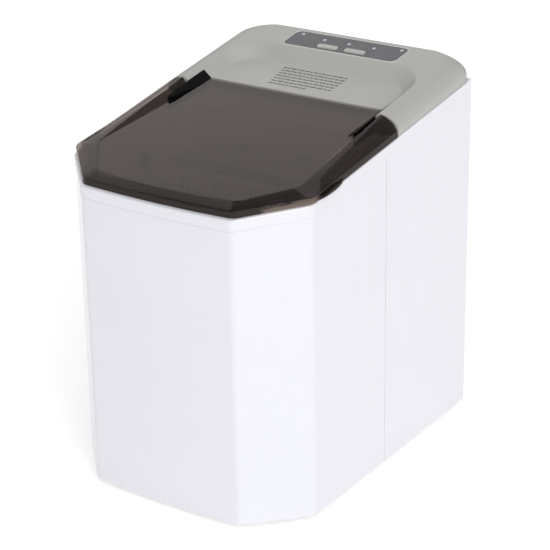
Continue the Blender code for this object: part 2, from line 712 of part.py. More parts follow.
def led_places():
    for i in range(LED_COUNT):
        x = PANEL_X + LED_SHIFT + (i - (LED_COUNT - 1) / 2) * LED_PITCH
        at_end = i in (0, LED_COUNT - 1)
        yield x, 0.1340 if at_end else 0.1295


def button_outline(x, grow, radius):
    half_x, half_y = BUTTON_SIZE[0] / 2 + grow, BUTTON_SIZE[1] / 2 + grow
    return rectangle(x - half_x, x + half_x, BUTTON_Y - half_y, BUTTON_Y + half_y, radius)


def led_post(x, y, radius, low, high):
    outline = [(x + a, y + b) for a, b in circle(radius, 12)]
    return loft("post", from_crest(outline, low, high))


def make_controls(mats):
    panel = loft("control_panel", from_crest(panel_rectangle(0.0, 0.005), -0.0010, 0.0002),
                 mats["charcoal"])
    for x in button_places().values():
        cut(panel, loft("button_hole", from_crest(button_outline(x, 0.0004, 0.0024), -0.01, 0.01)))
    for x, y in led_places():
        cut(panel, led_post(x, y, LED_R + 0.0004, -0.01, 0.01))

    for name, x in button_places().items():
        cap = button_outline(x, 0.0, 0.0020)
        flange = button_outline(x, 0.0010, 0.0024)
        rings = from_crest(flange, -0.0050, -0.0016) + from_crest(cap, -0.0016, 0.0006)
        rings += from_crest(button_outline(x, -0.0005, 0.0016), 0.0011)
        cap_middle = (x, BUTTON_Y, crest_z(BUTTON_Y))
        on_axis(loft(name, rings, mats["silver"]), cap_middle)
        switch = [(x - 0.003, BUTTON_Y - 0.003), (x + 0.003, BUTTON_Y - 0.003),
                  (x + 0.003, BUTTON_Y + 0.003), (x - 0.003, BUTTON_Y + 0.003)]
        loft(name.replace("button", "switch"), from_crest(switch, -0.0106, -0.0068), mats["enamel"],
             smooth=0)

    bar = rectangle(PANEL_X - 0.0535, PANEL_X + 0.0535, 0.1268, 0.1362, 0.002)
    guide = loft("led_light_guide", from_crest(bar, -0.0085, -0.0060), mats["clear"])
    for x, y in led_places():
        add(guide, led_post(x, y, LED_R, -0.0065, 0.0))
    board = rectangle(PANEL_X - 0.0530, PANEL_X + 0.0530, 0.1130, 0.1370, 0.001)
    loft("control_board", from_crest(board, -0.0125, -0.0109), mats["board"])


# ---------------------------------------------------------------- machine compartment

def make_compressor(mats):
    x, y = COMPRESSOR
    r = COMPRESSOR_R
    profile = [(r - 0.006, 0.0165), (r, 0.0220), (r, 0.0940), (r - 0.004, 0.1040), (r - 0.014, 0.1120),
               (r - 0.030, 0.1155)]
    turned("compressor", profile, (x, y, 0), material=mats["enamel"], steps=28)
    bracket = rectangle(x - 0.046, x + 0.040, y - 0.046, y + 0.046, 0.008)
    prism("compressor_bracket", bracket, 0.0135, 0.0160, "Z", mats["steel"])
    for name, dx, dy in (("1", -0.038, -0.038), ("2", 0.032, -0.038), ("3", -0.038, 0.038),
                         ("4", 0.032, 0.038)):
        profile = [(0.0055, 0.0070), (0.0062, 0.0085), (0.0062, 0.0118), (0.0055, 0.0132)]
        turned("compressor_grommet_" + name, profile, (x + dx, y + dy, 0), material=mats["rubber"],
               steps=14)


def make_condenser(mats):
    count, pitch, start = 18, 0.0050, 0.0480
    comb = [(-0.0780, start), (-0.0780, start + (count - 1) * pitch + 0.001)]
    for i in reversed(range(count)):
        y = start + i * pitch
        comb += [(-0.1000, y + 0.001), (-0.1000, y)]
        if i:
            comb += [(-0.0800, y), (-0.0800, y - pitch + 0.001)]
    prism("condenser", comb, 0.0300, 0.1650, "Z", mats["fins"], smooth=0)
    passes, run = 7, []
    for i in range(passes):
        z = 0.0380 + i * 0.0195
        ends = (0.0520, 0.1310) if i % 2 == 0 else (0.1310, 0.0520)
        run += [(-0.0745, ends[0], z), (-0.0745, (ends[0] + ends[1]) / 2, z), (-0.0745, ends[1], z)]
    tube("condenser_coil", run, 0.0025, mats["copper"])


def make_fan(mats):
    low, high = 0.0450, 0.1380
    shroud = box("fan_shroud", (-0.0700, low, 0.0300), (-0.0675, high, 0.1650), mats["enamel"])
    cut(shroud,
        turned("fan_opening", [(FAN_R + 0.002, -0.08), (FAN_R + 0.002, -0.06)], (0, FAN_Y, FAN_Z), "X",
                       steps=32))
    hub = turned("fan_rotor", [(0.0120, -0.0640), (0.0130, -0.0630), (0.0130, -0.0520)], (0, FAN_Y, FAN_Z),
                 "X",
                 mats["liner"])
    for i in range(5):
        turn = 2 * math.pi * i / 5
        inner = [(-0.0625, -0.0045), (-0.0610, -0.0055), (-0.0535, 0.0045), (-0.0550, 0.0055)]
        outer = [(-0.0630, -0.0110), (-0.0615, -0.0120), (-0.0530, 0.0110), (-0.0545, 0.0120)]
        rings = []
        for reach, section in ((0.0110, inner), (FAN_R - 0.002, outer)):
            spin = Matrix.Rotation(turn, 4, "X")
            rings.append([spin @ Vector((x, across, reach)) + Vector((0, FAN_Y, FAN_Z))
                          for x, across in section])
        add(hub, loft("blade", rings))
    on_axis(hub, (-0.0580, FAN_Y, FAN_Z))
    motor = turned("fan_motor", [(0.0150, -0.0480), (0.0160, -0.0470), (0.0160, -0.0240)],
                   (0, FAN_Y, FAN_Z), "X",
                   mats["steel"])
    add(motor, turned("shaft", [(0.002, -0.0517), (0.002, -0.0470)], (0, FAN_Y, FAN_Z), "X", steps=10))
    strap = [(-0.0672, 0.0440), (-0.0200, 0.0440), (-0.0200, 0.1510), (-0.0672, 0.1510), (-0.0672, 0.1490),
             (-0.0220, 0.1490), (-0.0220, 0.0460), (-0.0672, 0.0460)]
    prism("fan_bracket", strap, FAN_Y - 0.006, FAN_Y + 0.006, "Y", mats["steel"], smooth=0)


def make_refrigerant_circuit(mats):
    x, y = COMPRESSOR
    turned("filter_drier", [(0.0030, 0.1400), (0.0075, 0.1450), (0.0075, 0.1950), (0.0030, 0.2000)],
           (-0.090, 0.034, 0), material=mats["copper"], steps=14)
    turned("hot_gas_valve", [(0.0050, 0.1600), (0.0110, 0.1620), (0.0110, 0.1860), (0.0050, 0.1880)],
           (0.080, 0.128, 0), material=mats["steel"], steps=16)
    suction = [(x - 0.010, y - 0.004, 0.1162), (x - 0.010, y - 0.004, 0.1300),
               (x - 0.010, y - 0.006, 0.155), (x - 0.008, 0.060, 0.220),
               (0.0305, 0.040, 0.2500), (0.030, 0.0285, 0.2575), (0.030, 0.0085, 0.2575)]
    tube("suction_tube", suction, 0.0030, mats["copper"])
    discharge = [(x + 0.010, y + 0.004, 0.1162), (x + 0.010, y + 0.004, 0.1300),
                 (x + 0.009, y + 0.010, 0.155), (0.010, 0.110, 0.1820),
                 (-0.050, 0.118, 0.1820), (-0.0690, 0.1270, 0.1750), (-0.0735, 0.1305, 0.1590)]
    tube("discharge_tube", discharge, 0.0024, mats["copper"])
    capillary = [(-0.090, 0.034, 0.2005), (-0.090, 0.034, 0.2080), (-0.080, 0.040, 0.235),
                 (-0.060, 0.042, 0.252), (-0.032, 0.036, 0.2570),
                 (-0.030, 0.0270, 0.2575), (-0.030, 0.0085, 0.2575)]
    tube("capillary_tube", capillary, 0.0013, mats["copper"])


def make_board_and_fittings(mats):
    board = box("main_board", (0.1080, 0.050, 0.190), (0.1096, 0.130, 0.262), mats["board"])
    add(board, box("transformer", (0.0930, 0.062, 0.200), (0.1082, 0.084, 0.222)),
        box("relay", (0.0980, 0.100, 0.210), (0.1082, 0.118, 0.226)))

    x, z = DRAIN
    ring = [(0.0058, -0.0120), (0.0070, -0.0120), (0.0070, 0.0003), (0.0082, 0.0003), (0.0082, 0.0012),
            (0.0058, 0.0012)]
    turned("drain_port", ring, (x, REAR, z), "Y", mats["liner"], caps=False)
    plug = [(0.0048, -0.0100), (0.0054, -0.0090), (0.0054, 0.0015), (0.0078, 0.0015), (0.0078, 0.0024),
            (0.0070, 0.0027)]
    on_axis(turned("drain_plug", plug, (x, REAR, z), "Y", mats["rubber"]), (x, REAR, z))
    hose = [(x - 0.03, -0.03, TANK_FLOOR_Z - WALL - GAP), (x - 0.03, -0.0295, 0.048),
            (x - 0.022, -0.010, 0.030),
            (x, 0.030, z + 0.001), (x, 0.080, z), (x, 0.110, z), (x, REAR - 0.0123, z)]
    tube("drain_hose", hose, 0.0050, mats["hose"])

    x, z = GLAND
    ring = [(0.0035, -0.0060), (0.0078, -0.0060), (0.0078, -WALL - GAP), (0.0065, -WALL - GAP),
            (0.0065, GAP),
            (0.0088, GAP), (0.0075, 0.0027), (0.0035, 0.0027)]
    turned("cord_gland", ring, (x, REAR, z), "Y", mats["rubber"], caps=False)


def main():
    clear_scene()
    mats = make_materials()
    make_front_shell(mats["white"])
    make_rear_shell(mats["white"])
    make_base(mats["liner"], mats["rubber"])
    make_tank(mats["liner"])
    make_insulation(mats["foam"])
    make_basket(mats["basket"])
    make_tray(mats["basket"])
    make_evaporator(mats["steel"])
    make_shovel(mats["liner"])
    make_wet_parts(mats)
    make_lid(mats["smoke"])
    make_hinges(mats["black"], mats["steel"])
    make_cover(mats["grey"])
    deck_half = BAY_HALF - GAP
    box("rear_deck", (-deck_half, RIM_REAR + 0.0004, 0.2895), (deck_half, 0.0505, edge_z(0.0505) - 0.0015),
        mats["liner"])
    make_controls(mats)
    make_compressor(mats)
    make_condenser(mats)
    make_fan(mats)
    make_refrigerant_circuit(mats)
    make_board_and_fittings(mats)


main()
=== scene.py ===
"""Looks of the countertop ice maker: case, smoky lid, grey cover, the parts under the lid, and the studio.

Metres, in the frame's own axes: +X to the right of someone facing the front, -Y to the front, +Z up.
"""

import json
import math
import random

import bmesh
import bpy
from mathutils import Matrix, Vector


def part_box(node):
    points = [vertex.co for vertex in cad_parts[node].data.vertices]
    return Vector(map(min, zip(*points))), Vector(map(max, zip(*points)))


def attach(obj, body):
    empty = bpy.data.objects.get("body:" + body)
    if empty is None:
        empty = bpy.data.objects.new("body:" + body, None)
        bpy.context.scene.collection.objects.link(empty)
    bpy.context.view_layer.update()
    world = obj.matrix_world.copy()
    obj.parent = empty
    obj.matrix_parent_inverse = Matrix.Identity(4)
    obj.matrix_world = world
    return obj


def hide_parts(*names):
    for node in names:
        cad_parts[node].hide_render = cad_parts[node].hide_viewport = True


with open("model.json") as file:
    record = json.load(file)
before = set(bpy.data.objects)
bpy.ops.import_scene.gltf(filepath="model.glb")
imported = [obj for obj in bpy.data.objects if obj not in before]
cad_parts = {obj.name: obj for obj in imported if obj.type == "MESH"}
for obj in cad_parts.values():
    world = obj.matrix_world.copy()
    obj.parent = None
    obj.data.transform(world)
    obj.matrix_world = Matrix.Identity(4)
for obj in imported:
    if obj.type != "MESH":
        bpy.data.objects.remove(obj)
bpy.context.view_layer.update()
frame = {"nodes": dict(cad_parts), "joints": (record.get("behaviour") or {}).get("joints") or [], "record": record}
joints = {joint["name"]: joint for joint in frame["joints"]}

# Case plan and the sloping planes, as in the CAD.
HALF_WIDTH = 0.1151
FRONT = -0.1504
REAR = 0.1478
CUT = (0.0430, 0.0479)
BOW = 0.0026
WALL = 0.0024
GAP = 0.0003
CASE_BOTTOM = 0.004
EDGE_Y, EDGE_Z, EDGE_SLOPE = -0.1475, 0.2675, 0.1341
SEAM_Y = 0.0070
CREASE_Y = -0.0130
RIM_HEIGHT = 0.0092
RIM_REAR = 0.0247
WINDOW_RISE = 0.0083
CREST_START_Y, CREST_BEND_Y = -0.0930, 0.0245
LID_CREST_SLOPE, COVER_CREST_SLOPE = 0.2017, 0.1660
BAND_INNER_X, BAND_OUTER_X = 0.0855, 0.0965

# Lid: its outer edge, the flat window inside its bevel, and the line along the window's cut corners.
LID_HALF_WIDTH = 0.1155
LID_FRONT = -0.1482
LID_CORNER = 0.011
BEVEL = 0.0170
BEVEL_DEPTH = 0.0098
SKIRT_RISE = 0.0060
WINDOW_FRONT = LID_FRONT + BEVEL_DEPTH
WINDOW_CORNER_NORMAL = (0.796, -0.605)
WINDOW_CORNER_REACH = 0.1331
TAB_Y = -0.0765

HINGE = Vector(joints["lid_hinge"]["pos_m"])
HINGE_R = 0.0034
PIN_BORE = 0.0017
WING_REACH = 0.02185
BAY_HALF = 0.0932
SHELF_Y = 0.0483

PANEL = (0.002, 0.1255)
PANEL_SIZE = (0.113, 0.0274)
BUTTON_SIZE = (0.0208, 0.0066)
LED_PITCH, LED_SHIFT, LED_COUNT, LED_R = 0.0250, 0.0015, 5, 0.0017

LEDGE_Z = 0.226
TANK_FLOOR_Z = 0.062
TRAY = Vector(joints["tray_tilt"]["pos_m"])
TRAY_R = 0.021
TRAY_HALF = 0.062

ARC_STEPS = 9
BOW_STEPS = 24


# ---------------------------------------------------------------- heights and outlines

def edge_z(y):
    """Top edge of the white case."""
    return EDGE_Z + EDGE_SLOPE * (y - EDGE_Y)


def window_z(y):
    """Plane of the lid's window and of the shelf behind it."""
    return edge_z(y) + WINDOW_RISE


def crest_z(y):
    """Height of the side crests."""
    lid_part = min(max(y, CREST_START_Y), CREST_BEND_Y)
    cover_part = max(y, CREST_BEND_Y)
    start = window_z(min(y, CREST_START_Y))
    return (start + LID_CREST_SLOPE * (lid_part - CREST_START_Y)
            + COVER_CREST_SLOPE * (cover_part - CREST_BEND_Y))


def band_z(x, y):
    """Height of the hinge band, which climbs from the window to the crest. The band is black plastic made darker
    still, painted shade of the recess where the arms enter the cover.
    """
    share = (abs(x) - BAND_INNER_X) / (BAND_OUTER_X - BAND_INNER_X)
    return window_z(y) + (crest_z(y) - window_z(y)) * min(max(share, 0.0), 1.0)


def ramp(value, low, high):
    """0 below low, 1 above high, and smooth between them."""
    t = min(max((value - low) / (high - low), 0.0), 1.0)
    return t * t * (3 - 2 * t)


def rounded(corners, steps=ARC_STEPS):
    """Points of a polygon given as (x, y, radius); a corner with a radius becomes an arc."""
    points = []
    for i, (x, y, radius) in enumerate(corners):
        here = Vector((x, y))
        if radius <= 0:
            points.append((x, y))
            continue
        to_last = (Vector(corners[i - 1][:2]) - here).normalized()
        to_next = (Vector(corners[(i + 1) % len(corners)][:2]) - here).normalized()
        half = math.acos(max(-1.0, min(1.0, to_last.dot(to_next)))) / 2
        reach = radius / math.tan(half)
        middle = here + (to_last + to_next).normalized() * (radius / math.sin(half))
        start = here + to_last * reach - middle
        turn = start.angle_signed(here + to_next * reach - middle)
        for k in range(steps + 1):
            arm = start.copy()
            arm.rotate(Matrix.Rotation(-turn * k / steps, 2))
            points.append(tuple(middle + arm))
    return points


def plan(half_width, front, rear, cut=CUT, bow=BOW, radius=0.009, rear_radius=0.003, stations=()):
    """Bowed front, two cut front corners and straight sides. A station is (y, how far it stands proud)."""
    flat = half_width - cut[0]
    corners = []
    for i in range(BOW_STEPS + 1):
        x = flat * (2 * i / BOW_STEPS - 1)
        at_end = i in (0, BOW_STEPS)
        corners.append((x, front + bow * (x / flat) ** 2, radius if at_end else 0))
    corners.append((half_width, front + cut[1], radius))
    corners += [(half_width + proud, y, 0) for y, proud in stations]
    corners.append((half_width, rear, rear_radius))
    corners.append((-half_width, rear, rear_radius))
    corners += [(-half_width - proud, y, 0) for y, proud in reversed(stations)]
    corners.append((-half_width, front + cut[1], radius))
    return rounded(corners)


def case_plan(inset, rear=None, **more):
    cut = (CUT[0] - 0.57 * inset, CUT[1] - 0.57 * inset)
    return plan(HALF_WIDTH - inset, FRONT + inset, REAR - inset if rear is None else rear, cut=cut, **more)


def rectangle(x_low, x_high, y_low, y_high, radius, steps=ARC_STEPS):
    corners = [(x_low, y_low, radius), (x_high, y_low, radius), (x_high, y_high, radius),
               (x_low, y_high, radius)]
    return rounded(corners, steps)


def circle(radius, steps=40):
    turns = (2 * math.pi * i / steps for i in range(steps))
    return [(radius * math.cos(a), radius * math.sin(a)) for a in turns]


def lift(outline, height):
    """Outline at a height, which is a number or a function of y."""
    if callable(height):
        return [(x, y, height(y)) for x, y in outline]
    return [(x, y, height) for x, y in outline]


def part_of(ring, inside):
    """The stretch of a closed ring whose points pass the test, in order."""
    first = next(i for i in range(len(ring)) if inside(ring[i]) and not inside(ring[i - 1]))
    turned = ring[first:] + ring[:first]
    return [point for point in turned if inside(point)]


# ---------------------------------------------------------------- mesh tools

def mesh_object(name, bm):
    bmesh.ops.recalc_face_normals(bm, faces=bm.faces)
    mesh = bpy.data.meshes.new(name)
    bm.to_mesh(mesh)
    bm.free()
    obj = bpy.data.objects.new(name, mesh)
    bpy.context.scene.collection.objects.link(obj)
    return obj


def loft(name, rings, caps="flat", ring_open=False):
    """Skin over rings. caps: "flat" faces, or "none", which joins the last ring to the first."""
    bm = bmesh.new()
    rows = [[bm.verts.new(point) for point in ring] for ring in rings]
    pairs = list(zip(rows, rows[1:])) + ([(rows[-1], rows[0])] if caps == "none" else [])
    size = len(rows[0])
    for low, high in pairs:
        for i in range(size - ring_open):
            j = (i + 1) % size
            bm.faces.new((low[i], low[j], high[j], high[i]))
    if ring_open:
        bm.faces.new([row[0] for row in rows])
        bm.faces.new([row[-1] for row in reversed(rows)])
    if caps == "flat":
        bm.faces.new(rows[0][::-1])
        bm.faces.new(rows[-1])
    return mesh_object(name, bm)


def tongue(name, rings):
    """Skin over open rings that mirror left to right, with strips across the first and the last."""
    bm = bmesh.new()
    rows = [[bm.verts.new(point) for point in ring] for ring in rings]
    size = len(rows[0])
    for low, high in zip(rows, rows[1:]):
        for i in range(size - 1):
            bm.faces.new((low[i], low[i + 1], high[i + 1], high[i]))
    for row in (rows[0], rows[-1]):
        for i in range((size - 1) // 2):
            middle = [row[i + 1]] if i + 1 == size - 2 - i else [row[i + 1], row[size - 2 - i]]
            bm.faces.new([row[i], *middle, row[size - 1 - i]])
    bm.faces.new([row[0] for row in rows] + [row[-1] for row in reversed(rows)])
    return mesh_object(name, bm)


def prism(name, outline, low, high, axis="Z"):
    """Outline extruded along an axis. Its two coordinates are the other axes, in X, Y, Z order."""
    place = {"X": lambda a, b, c: (c, a, b), "Y": lambda a, b, c: (a, c, b),
             "Z": lambda a, b, c: (a, b, c)}[axis]
    return loft(name, [[place(a, b, level) for a, b in outline] for level in (low, high)])


def box(name, low, high):
    outline = [(low[0], low[1]), (high[0], low[1]), (high[0], high[1]), (low[0], high[1])]
    return prism(name, outline, low[2], high[2])


def turned(name, profile, centre, axis="Z", caps="flat", steps=40):
    """Profile of (radius, distance along the axis) turned about the axis through centre."""
    rings = []
    for radius, along in profile:
        ring = []
        for a, b in circle(radius, steps):
            local = {"X": (along, a, b), "Y": (a, along, b), "Z": (a, b, along)}[axis]
            ring.append(tuple(Vector(local) + Vector(centre)))
        rings.append(ring)
    return loft(name, rings, caps)


def slots(name, count, pitch, width, height, place, depth=0.02):
    """Cutter of round-ended slots side by side; place turns (across, up, through) into world axes."""
    bm = bmesh.new()
    outline = rectangle(-width / 2, width / 2, -height / 2, height / 2, width * 0.49, 5)
    for i in range(count):
        across = (i - (count - 1) / 2) * pitch
        rows = [[bm.verts.new(place(across + a, b, level)) for a, b in outline] for level in (-depth / 2,
                                                                                              depth / 2)]
        for k in range(len(outline)):
            j = (k + 1) % len(outline)
            bm.faces.new((rows[0][k], rows[0][j], rows[1][j], rows[1][k]))
        bm.faces.new(rows[0][::-1])
        bm.faces.new(rows[1])
    return mesh_object(name, bm)


def combine(target, other, operation):
    modifier = target.modifiers.new("combine", "BOOLEAN")
    modifier.operation = operation
    modifier.solver = "EXACT"
    modifier.object = other
    graph = bpy.context.evaluated_depsgraph_get()
    mesh = bpy.data.meshes.new_from_object(target.evaluated_get(graph))
    target.modifiers.clear()
    target.data = mesh
    bpy.data.objects.remove(other, do_unlink=True)
    return target


def cut(target, *others):
    for other in others:
        combine(target, other, "DIFFERENCE")
    return target


def add(target, *others):
    for other in others:
        combine(target, other, "UNION")
    return target


def join(name, pieces):
    """One object out of several that stay separate solids."""
    bm = bmesh.new()
    for piece in pieces:
        bm.from_mesh(piece.data)
        bpy.data.objects.remove(piece, do_unlink=True)
    return mesh_object(name, bm)


def finish(obj, material, body, replaced=(), bevel=0.0, segments=3, angle=35):
    """Rounds the edges, smooths the shading, gives the material, hangs the piece on its body and hides the CAD
    parts it replaces.
    """
    if bevel:
        modifier = obj.modifiers.new("edges", "BEVEL")
        modifier.width = bevel
        modifier.segments = segments
        modifier.limit_method = "ANGLE"
        modifier.angle_limit = math.radians(angle)
        modifier.miter_outer = "MITER_ARC"
    obj.data.shade_smooth()
    obj.data.set_sharp_from_angle(angle=math.radians(55 if bevel else 32))
    weighted = obj.modifiers.new("flat faces", "WEIGHTED_NORMAL")
    weighted.keep_sharp = True
    obj.data.materials.clear()
    obj.data.materials.append(material)
    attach(obj, body)
    if replaced:
        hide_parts(*replaced)
    return obj


# ---------------------------------------------------------------- materials

class Nodes:
    """A new node material with its Principled shader, and short ways to add the usual nodes."""

    def __init__(self, name):
        self.material = bpy.data.materials.new(name)
        self.material.use_nodes = True
        self.tree = self.material.node_tree
        self.shader = self.tree.nodes["Principled BSDF"]
        self.place = self.new("ShaderNodeTexCoord").outputs["Object"]

    def new(self, kind):
        return self.tree.nodes.new(kind)

    def link(self, source, target):
        self.tree.links.new(source, target)

    def noise(self, scale, detail=3.0, stretch=None):
        node = self.new("ShaderNodeTexNoise")
        node.inputs["Scale"].default_value = scale
        node.inputs["Detail"].default_value = detail
        source = self.place
        if stretch:
            mapping = self.new("ShaderNodeMapping")
            mapping.inputs["Scale"].default_value = stretch
            self.link(self.place, mapping.inputs["Vector"])
            source = mapping.outputs["Vector"]
        self.link(source, node.inputs["Vector"])
        return node.outputs["Fac"]

    def spread(self, fac, low, high, target):
        """Maps a noise to the range low to high on a socket."""
        node = self.new("ShaderNodeMapRange")
        node.inputs["From Min"].default_value = 0.3
        node.inputs["From Max"].default_value = 0.7
        node.inputs["To Min"].default_value = low
        node.inputs["To Max"].default_value = high
        self.link(fac, node.inputs["Value"])
        self.link(node.outputs["Result"], target)

    def tint(self, fac, first, second):
        node = self.new("ShaderNodeValToRGB")
        node.color_ramp.elements[0].position = 0.3
        node.color_ramp.elements[0].color = (*first, 1)
        node.color_ramp.elements[1].position = 0.7
        node.color_ramp.elements[1].color = (*second, 1)
        self.link(fac, node.inputs["Fac"])
        self.link(node.outputs["Color"], self.shader.inputs["Base Color"])

    def bump(self, fac, distance, strength=1.0):
        node = self.new("ShaderNodeBump")
        node.inputs["Distance"].default_value = distance
        node.inputs["Strength"].default_value = strength
        self.link(fac, node.inputs["Height"])
        self.link(node.outputs["Normal"], self.shader.inputs["Normal"])


def shade(colour, factor):
    """Colour made lighter or darker by a factor."""
    return tuple(min(1.0, c * factor) for c in colour)


def plastic(name, colour, roughness, grain_scale, grain_depth, vary=0.02, rough_vary=0.04, coat=0.0,
            shine=0.5):
    """Moulded plastic: a slow drift of colour, a patchy sheen, and the grain of the mould."""
    nodes = Nodes(name)
    nodes.tint(nodes.noise(18.0), shade(colour, 1 - vary), shade(colour, 1 + vary))
    patches = nodes.noise(60.0, 4.0)
    nodes.spread(patches, roughness - rough_vary, roughness + rough_vary, nodes.shader.inputs["Roughness"])
    nodes.bump(nodes.noise(grain_scale, 2.0), grain_depth)
    nodes.shader.inputs["Specular IOR Level"].default_value = shine
    nodes.shader.inputs["Coat Weight"].default_value = coat
    nodes.shader.inputs["Coat Roughness"].default_value = 0.08
    return nodes.material


def metal(name, colour, roughness, stretch):
    """Brushed metal, with streaks along the direction that stretch leaves long."""
    nodes = Nodes(name)
    streaks = nodes.noise(40.0, 5.0, stretch)
    nodes.tint(streaks, shade(colour, 0.88), shade(colour, 1.08))
    nodes.shader.inputs["Metallic"].default_value = 1.0
    nodes.spread(streaks, roughness - 0.07, roughness + 0.09, nodes.shader.inputs["Roughness"])
    nodes.bump(streaks, 0.00004)
    return nodes.material


def smoky(name, window_tint, side_smoke_and_painted_shade, corner_smoke_and_painted_shade, bevel_smoke_and_painted_shade, skirt_tint):
    """Smoky clear plastic, with a tint for each zone of the lid; the side, corner and front-bevel tints are
    darker, painted shade for the dark look of these slanted faces. It mirrors more at a slant.
    """
    nodes = Nodes(name)
    nodes.tree.nodes.remove(nodes.shader)

    def sums(operation, first, second=0.0):
        node = nodes.new("ShaderNodeMath")
        node.operation = operation
        for socket, value in zip(node.inputs, (first, second)):
            if isinstance(value, float):
                socket.default_value = value
            else:
                nodes.link(value, socket)
        return node.outputs["Value"]

    def share(value, low, high):
        node = nodes.new("ShaderNodeMapRange")
        node.inputs["From Min"].default_value = low
        node.inputs["From Max"].default_value = high
        nodes.link(value, node.inputs["Value"])
        return node.outputs["Result"]

    def blend(fac, first, second):
        node = nodes.new("ShaderNodeMix")
        node.data_type = "RGBA"
        nodes.link(fac, node.inputs["Factor"])
        for socket, value in zip((node.inputs["A"], node.inputs["B"]), (first, second)):
            if isinstance(value, tuple):
                socket.default_value = (*value, 1)
            else:
                nodes.link(value, socket)
        return node.outputs["Result"]

    axes = nodes.new("ShaderNodeSeparateXYZ")
    nodes.link(nodes.place, axes.inputs["Vector"])
    x, y, z = sums("ABSOLUTE", axes.outputs["X"]), axes.outputs["Y"], axes.outputs["Z"]
    across, along = WINDOW_CORNER_NORMAL
    corner = sums("ADD", sums("MULTIPLY", x, across), sums("MULTIPLY", y, along))
    at_side = sums("SUBTRACT", x, LID_HALF_WIDTH - BEVEL)
    at_corner = sums("SUBTRACT", corner, WINDOW_CORNER_REACH)
    at_front = sums("SUBTRACT", WINDOW_FRONT, y)
    height = sums("SUBTRACT", sums("SUBTRACT", z, sums("MULTIPLY", y, EDGE_SLOPE)), edge_z(0.0))
    ahead_of_wings = share(y, -0.088, -0.096)
    in_skirt = sums("MULTIPLY", share(height, SKIRT_RISE, SKIRT_RISE - 0.0006), ahead_of_wings)
    # Darker tints on the side, corner and front-bevel zones: painted shade for these slanted faces.
    tint = blend(share(at_side, -0.0010, 0.0010), window_tint, side_smoke_and_painted_shade)
    tint = blend(share(at_corner, -0.0010, 0.0010), tint, corner_smoke_and_painted_shade)
    tint = blend(share(at_front, -0.0003, 0.0003), tint, bevel_smoke_and_painted_shade)
    tint = blend(in_skirt, tint, blend(share(x, 0.086, 0.088), side_smoke_and_painted_shade, skirt_tint))
    clear = nodes.new("ShaderNodeBsdfTransparent")
    nodes.link(tint, clear.inputs["Color"])

    haze = nodes.new("ShaderNodeBsdfDiffuse")
    haze.inputs["Color"].default_value = (0.10, 0.088, 0.078, 1)
    cloudy = nodes.new("ShaderNodeMixShader")
    nodes.spread(nodes.noise(30.0), 0.015, 0.035, cloudy.inputs["Fac"])
    nodes.link(clear.outputs["BSDF"], cloudy.inputs[1])
    nodes.link(haze.outputs["BSDF"], cloudy.inputs[2])

    facing = nodes.new("ShaderNodeLayerWeight")
    facing.inputs["Blend"].default_value = 0.5
    slant = sums("POWER", facing.outputs["Facing"], 5.0)
    mirror = sums("ADD", sums("MULTIPLY", slant, 0.965), 0.032)
    gloss = nodes.new("ShaderNodeBsdfGlossy")
    gloss.inputs["Color"].default_value = (0.80, 0.75, 0.725, 1)
    nodes.spread(nodes.noise(90.0, 4.0), 0.02, 0.05, gloss.inputs["Roughness"])
    mixed = nodes.new("ShaderNodeMixShader")
    nodes.link(mirror, mixed.inputs["Fac"])
    nodes.link(cloudy.outputs["Shader"], mixed.inputs[1])
    nodes.link(gloss.outputs["BSDF"], mixed.inputs[2])
    nodes.link(mixed.outputs["Shader"], nodes.tree.nodes["Material Output"].inputs["Surface"])
    return nodes.material


def board_green(name):
    """Green solder mask with darker tracks."""
    nodes = Nodes(name)
    tracks = nodes.new("ShaderNodeTexBrick")
    tracks.inputs["Scale"].default_value = 220.0
    tracks.inputs["Color1"].default_value = (0.02, 0.13, 0.06, 1)
    tracks.inputs["Color2"].default_value = (0.03, 0.18, 0.08, 1)
    tracks.inputs["Mortar"].default_value = (0.01, 0.07, 0.03, 1)
    nodes.link(nodes.place, tracks.inputs["Vector"])
    nodes.link(tracks.outputs["Color"], nodes.shader.inputs["Base Color"])
    nodes.bump(tracks.outputs["Fac"], 0.0001)
    nodes.shader.inputs["Roughness"].default_value = 0.4
    return nodes.material


WHITE = plastic("white_gloss", (0.70, 0.70, 0.745), 0.20, 1400, 0.00001, 0.008, 0.03, 0.3)
LINER = plastic("liner_white", (0.70, 0.70, 0.69), 0.36, 2200, 0.00003, 0.02)
GREY = plastic("cover_grey", (0.400, 0.395, 0.372), 0.42, 2600, 0.00003, 0.015)
GREY_RIM = plastic("frame_grey", (0.66, 0.65, 0.62), 0.35, 2600, 0.00002, 0.015)
# Lid tints for window, side, corner, front bevel and skirt; the side, corner and bevel ones are darkened as
# painted shade.
SMOKE = smoky("lid_smoke", (0.43, 0.375, 0.355), (0.38, 0.34, 0.325), (0.24, 0.21, 0.195),
              (0.15, 0.125, 0.11), (0.85, 0.80, 0.75))
# Hinge parts: black plastic taken near zero and dulled, painted shade of the recess where the arms enter the
# cover.
HINGE_BLACK_AND_PAINTED_SHADE = plastic("hinge_black", (0.002, 0.002, 0.002), 0.55, 3000, 0.00004, 0.1, shine=0.1)
CHARCOAL = plastic("panel_charcoal", (0.052, 0.046, 0.056), 0.30, 4200, 0.00001, 0.03)
SILVER = plastic("button_silver", (0.42, 0.415, 0.39), 0.34, 5000, 0.00001, 0.02)
LED = plastic("light_guide", (0.50, 0.50, 0.52), 0.22, 4000, 0.00001, 0.02, 0.04, 0.4)
BASKET = plastic("basket_grey", (0.52, 0.52, 0.51), 0.40, 2400, 0.00004, 0.03)
TRAY_GREY = plastic("tray_grey", (0.30, 0.30, 0.31), 0.38, 2400, 0.00003, 0.03)
STEEL = metal("steel", (0.60, 0.60, 0.60), 0.30, (1, 1, 14))
COPPER = metal("copper", (0.62, 0.28, 0.16), 0.34, (1, 6, 6))
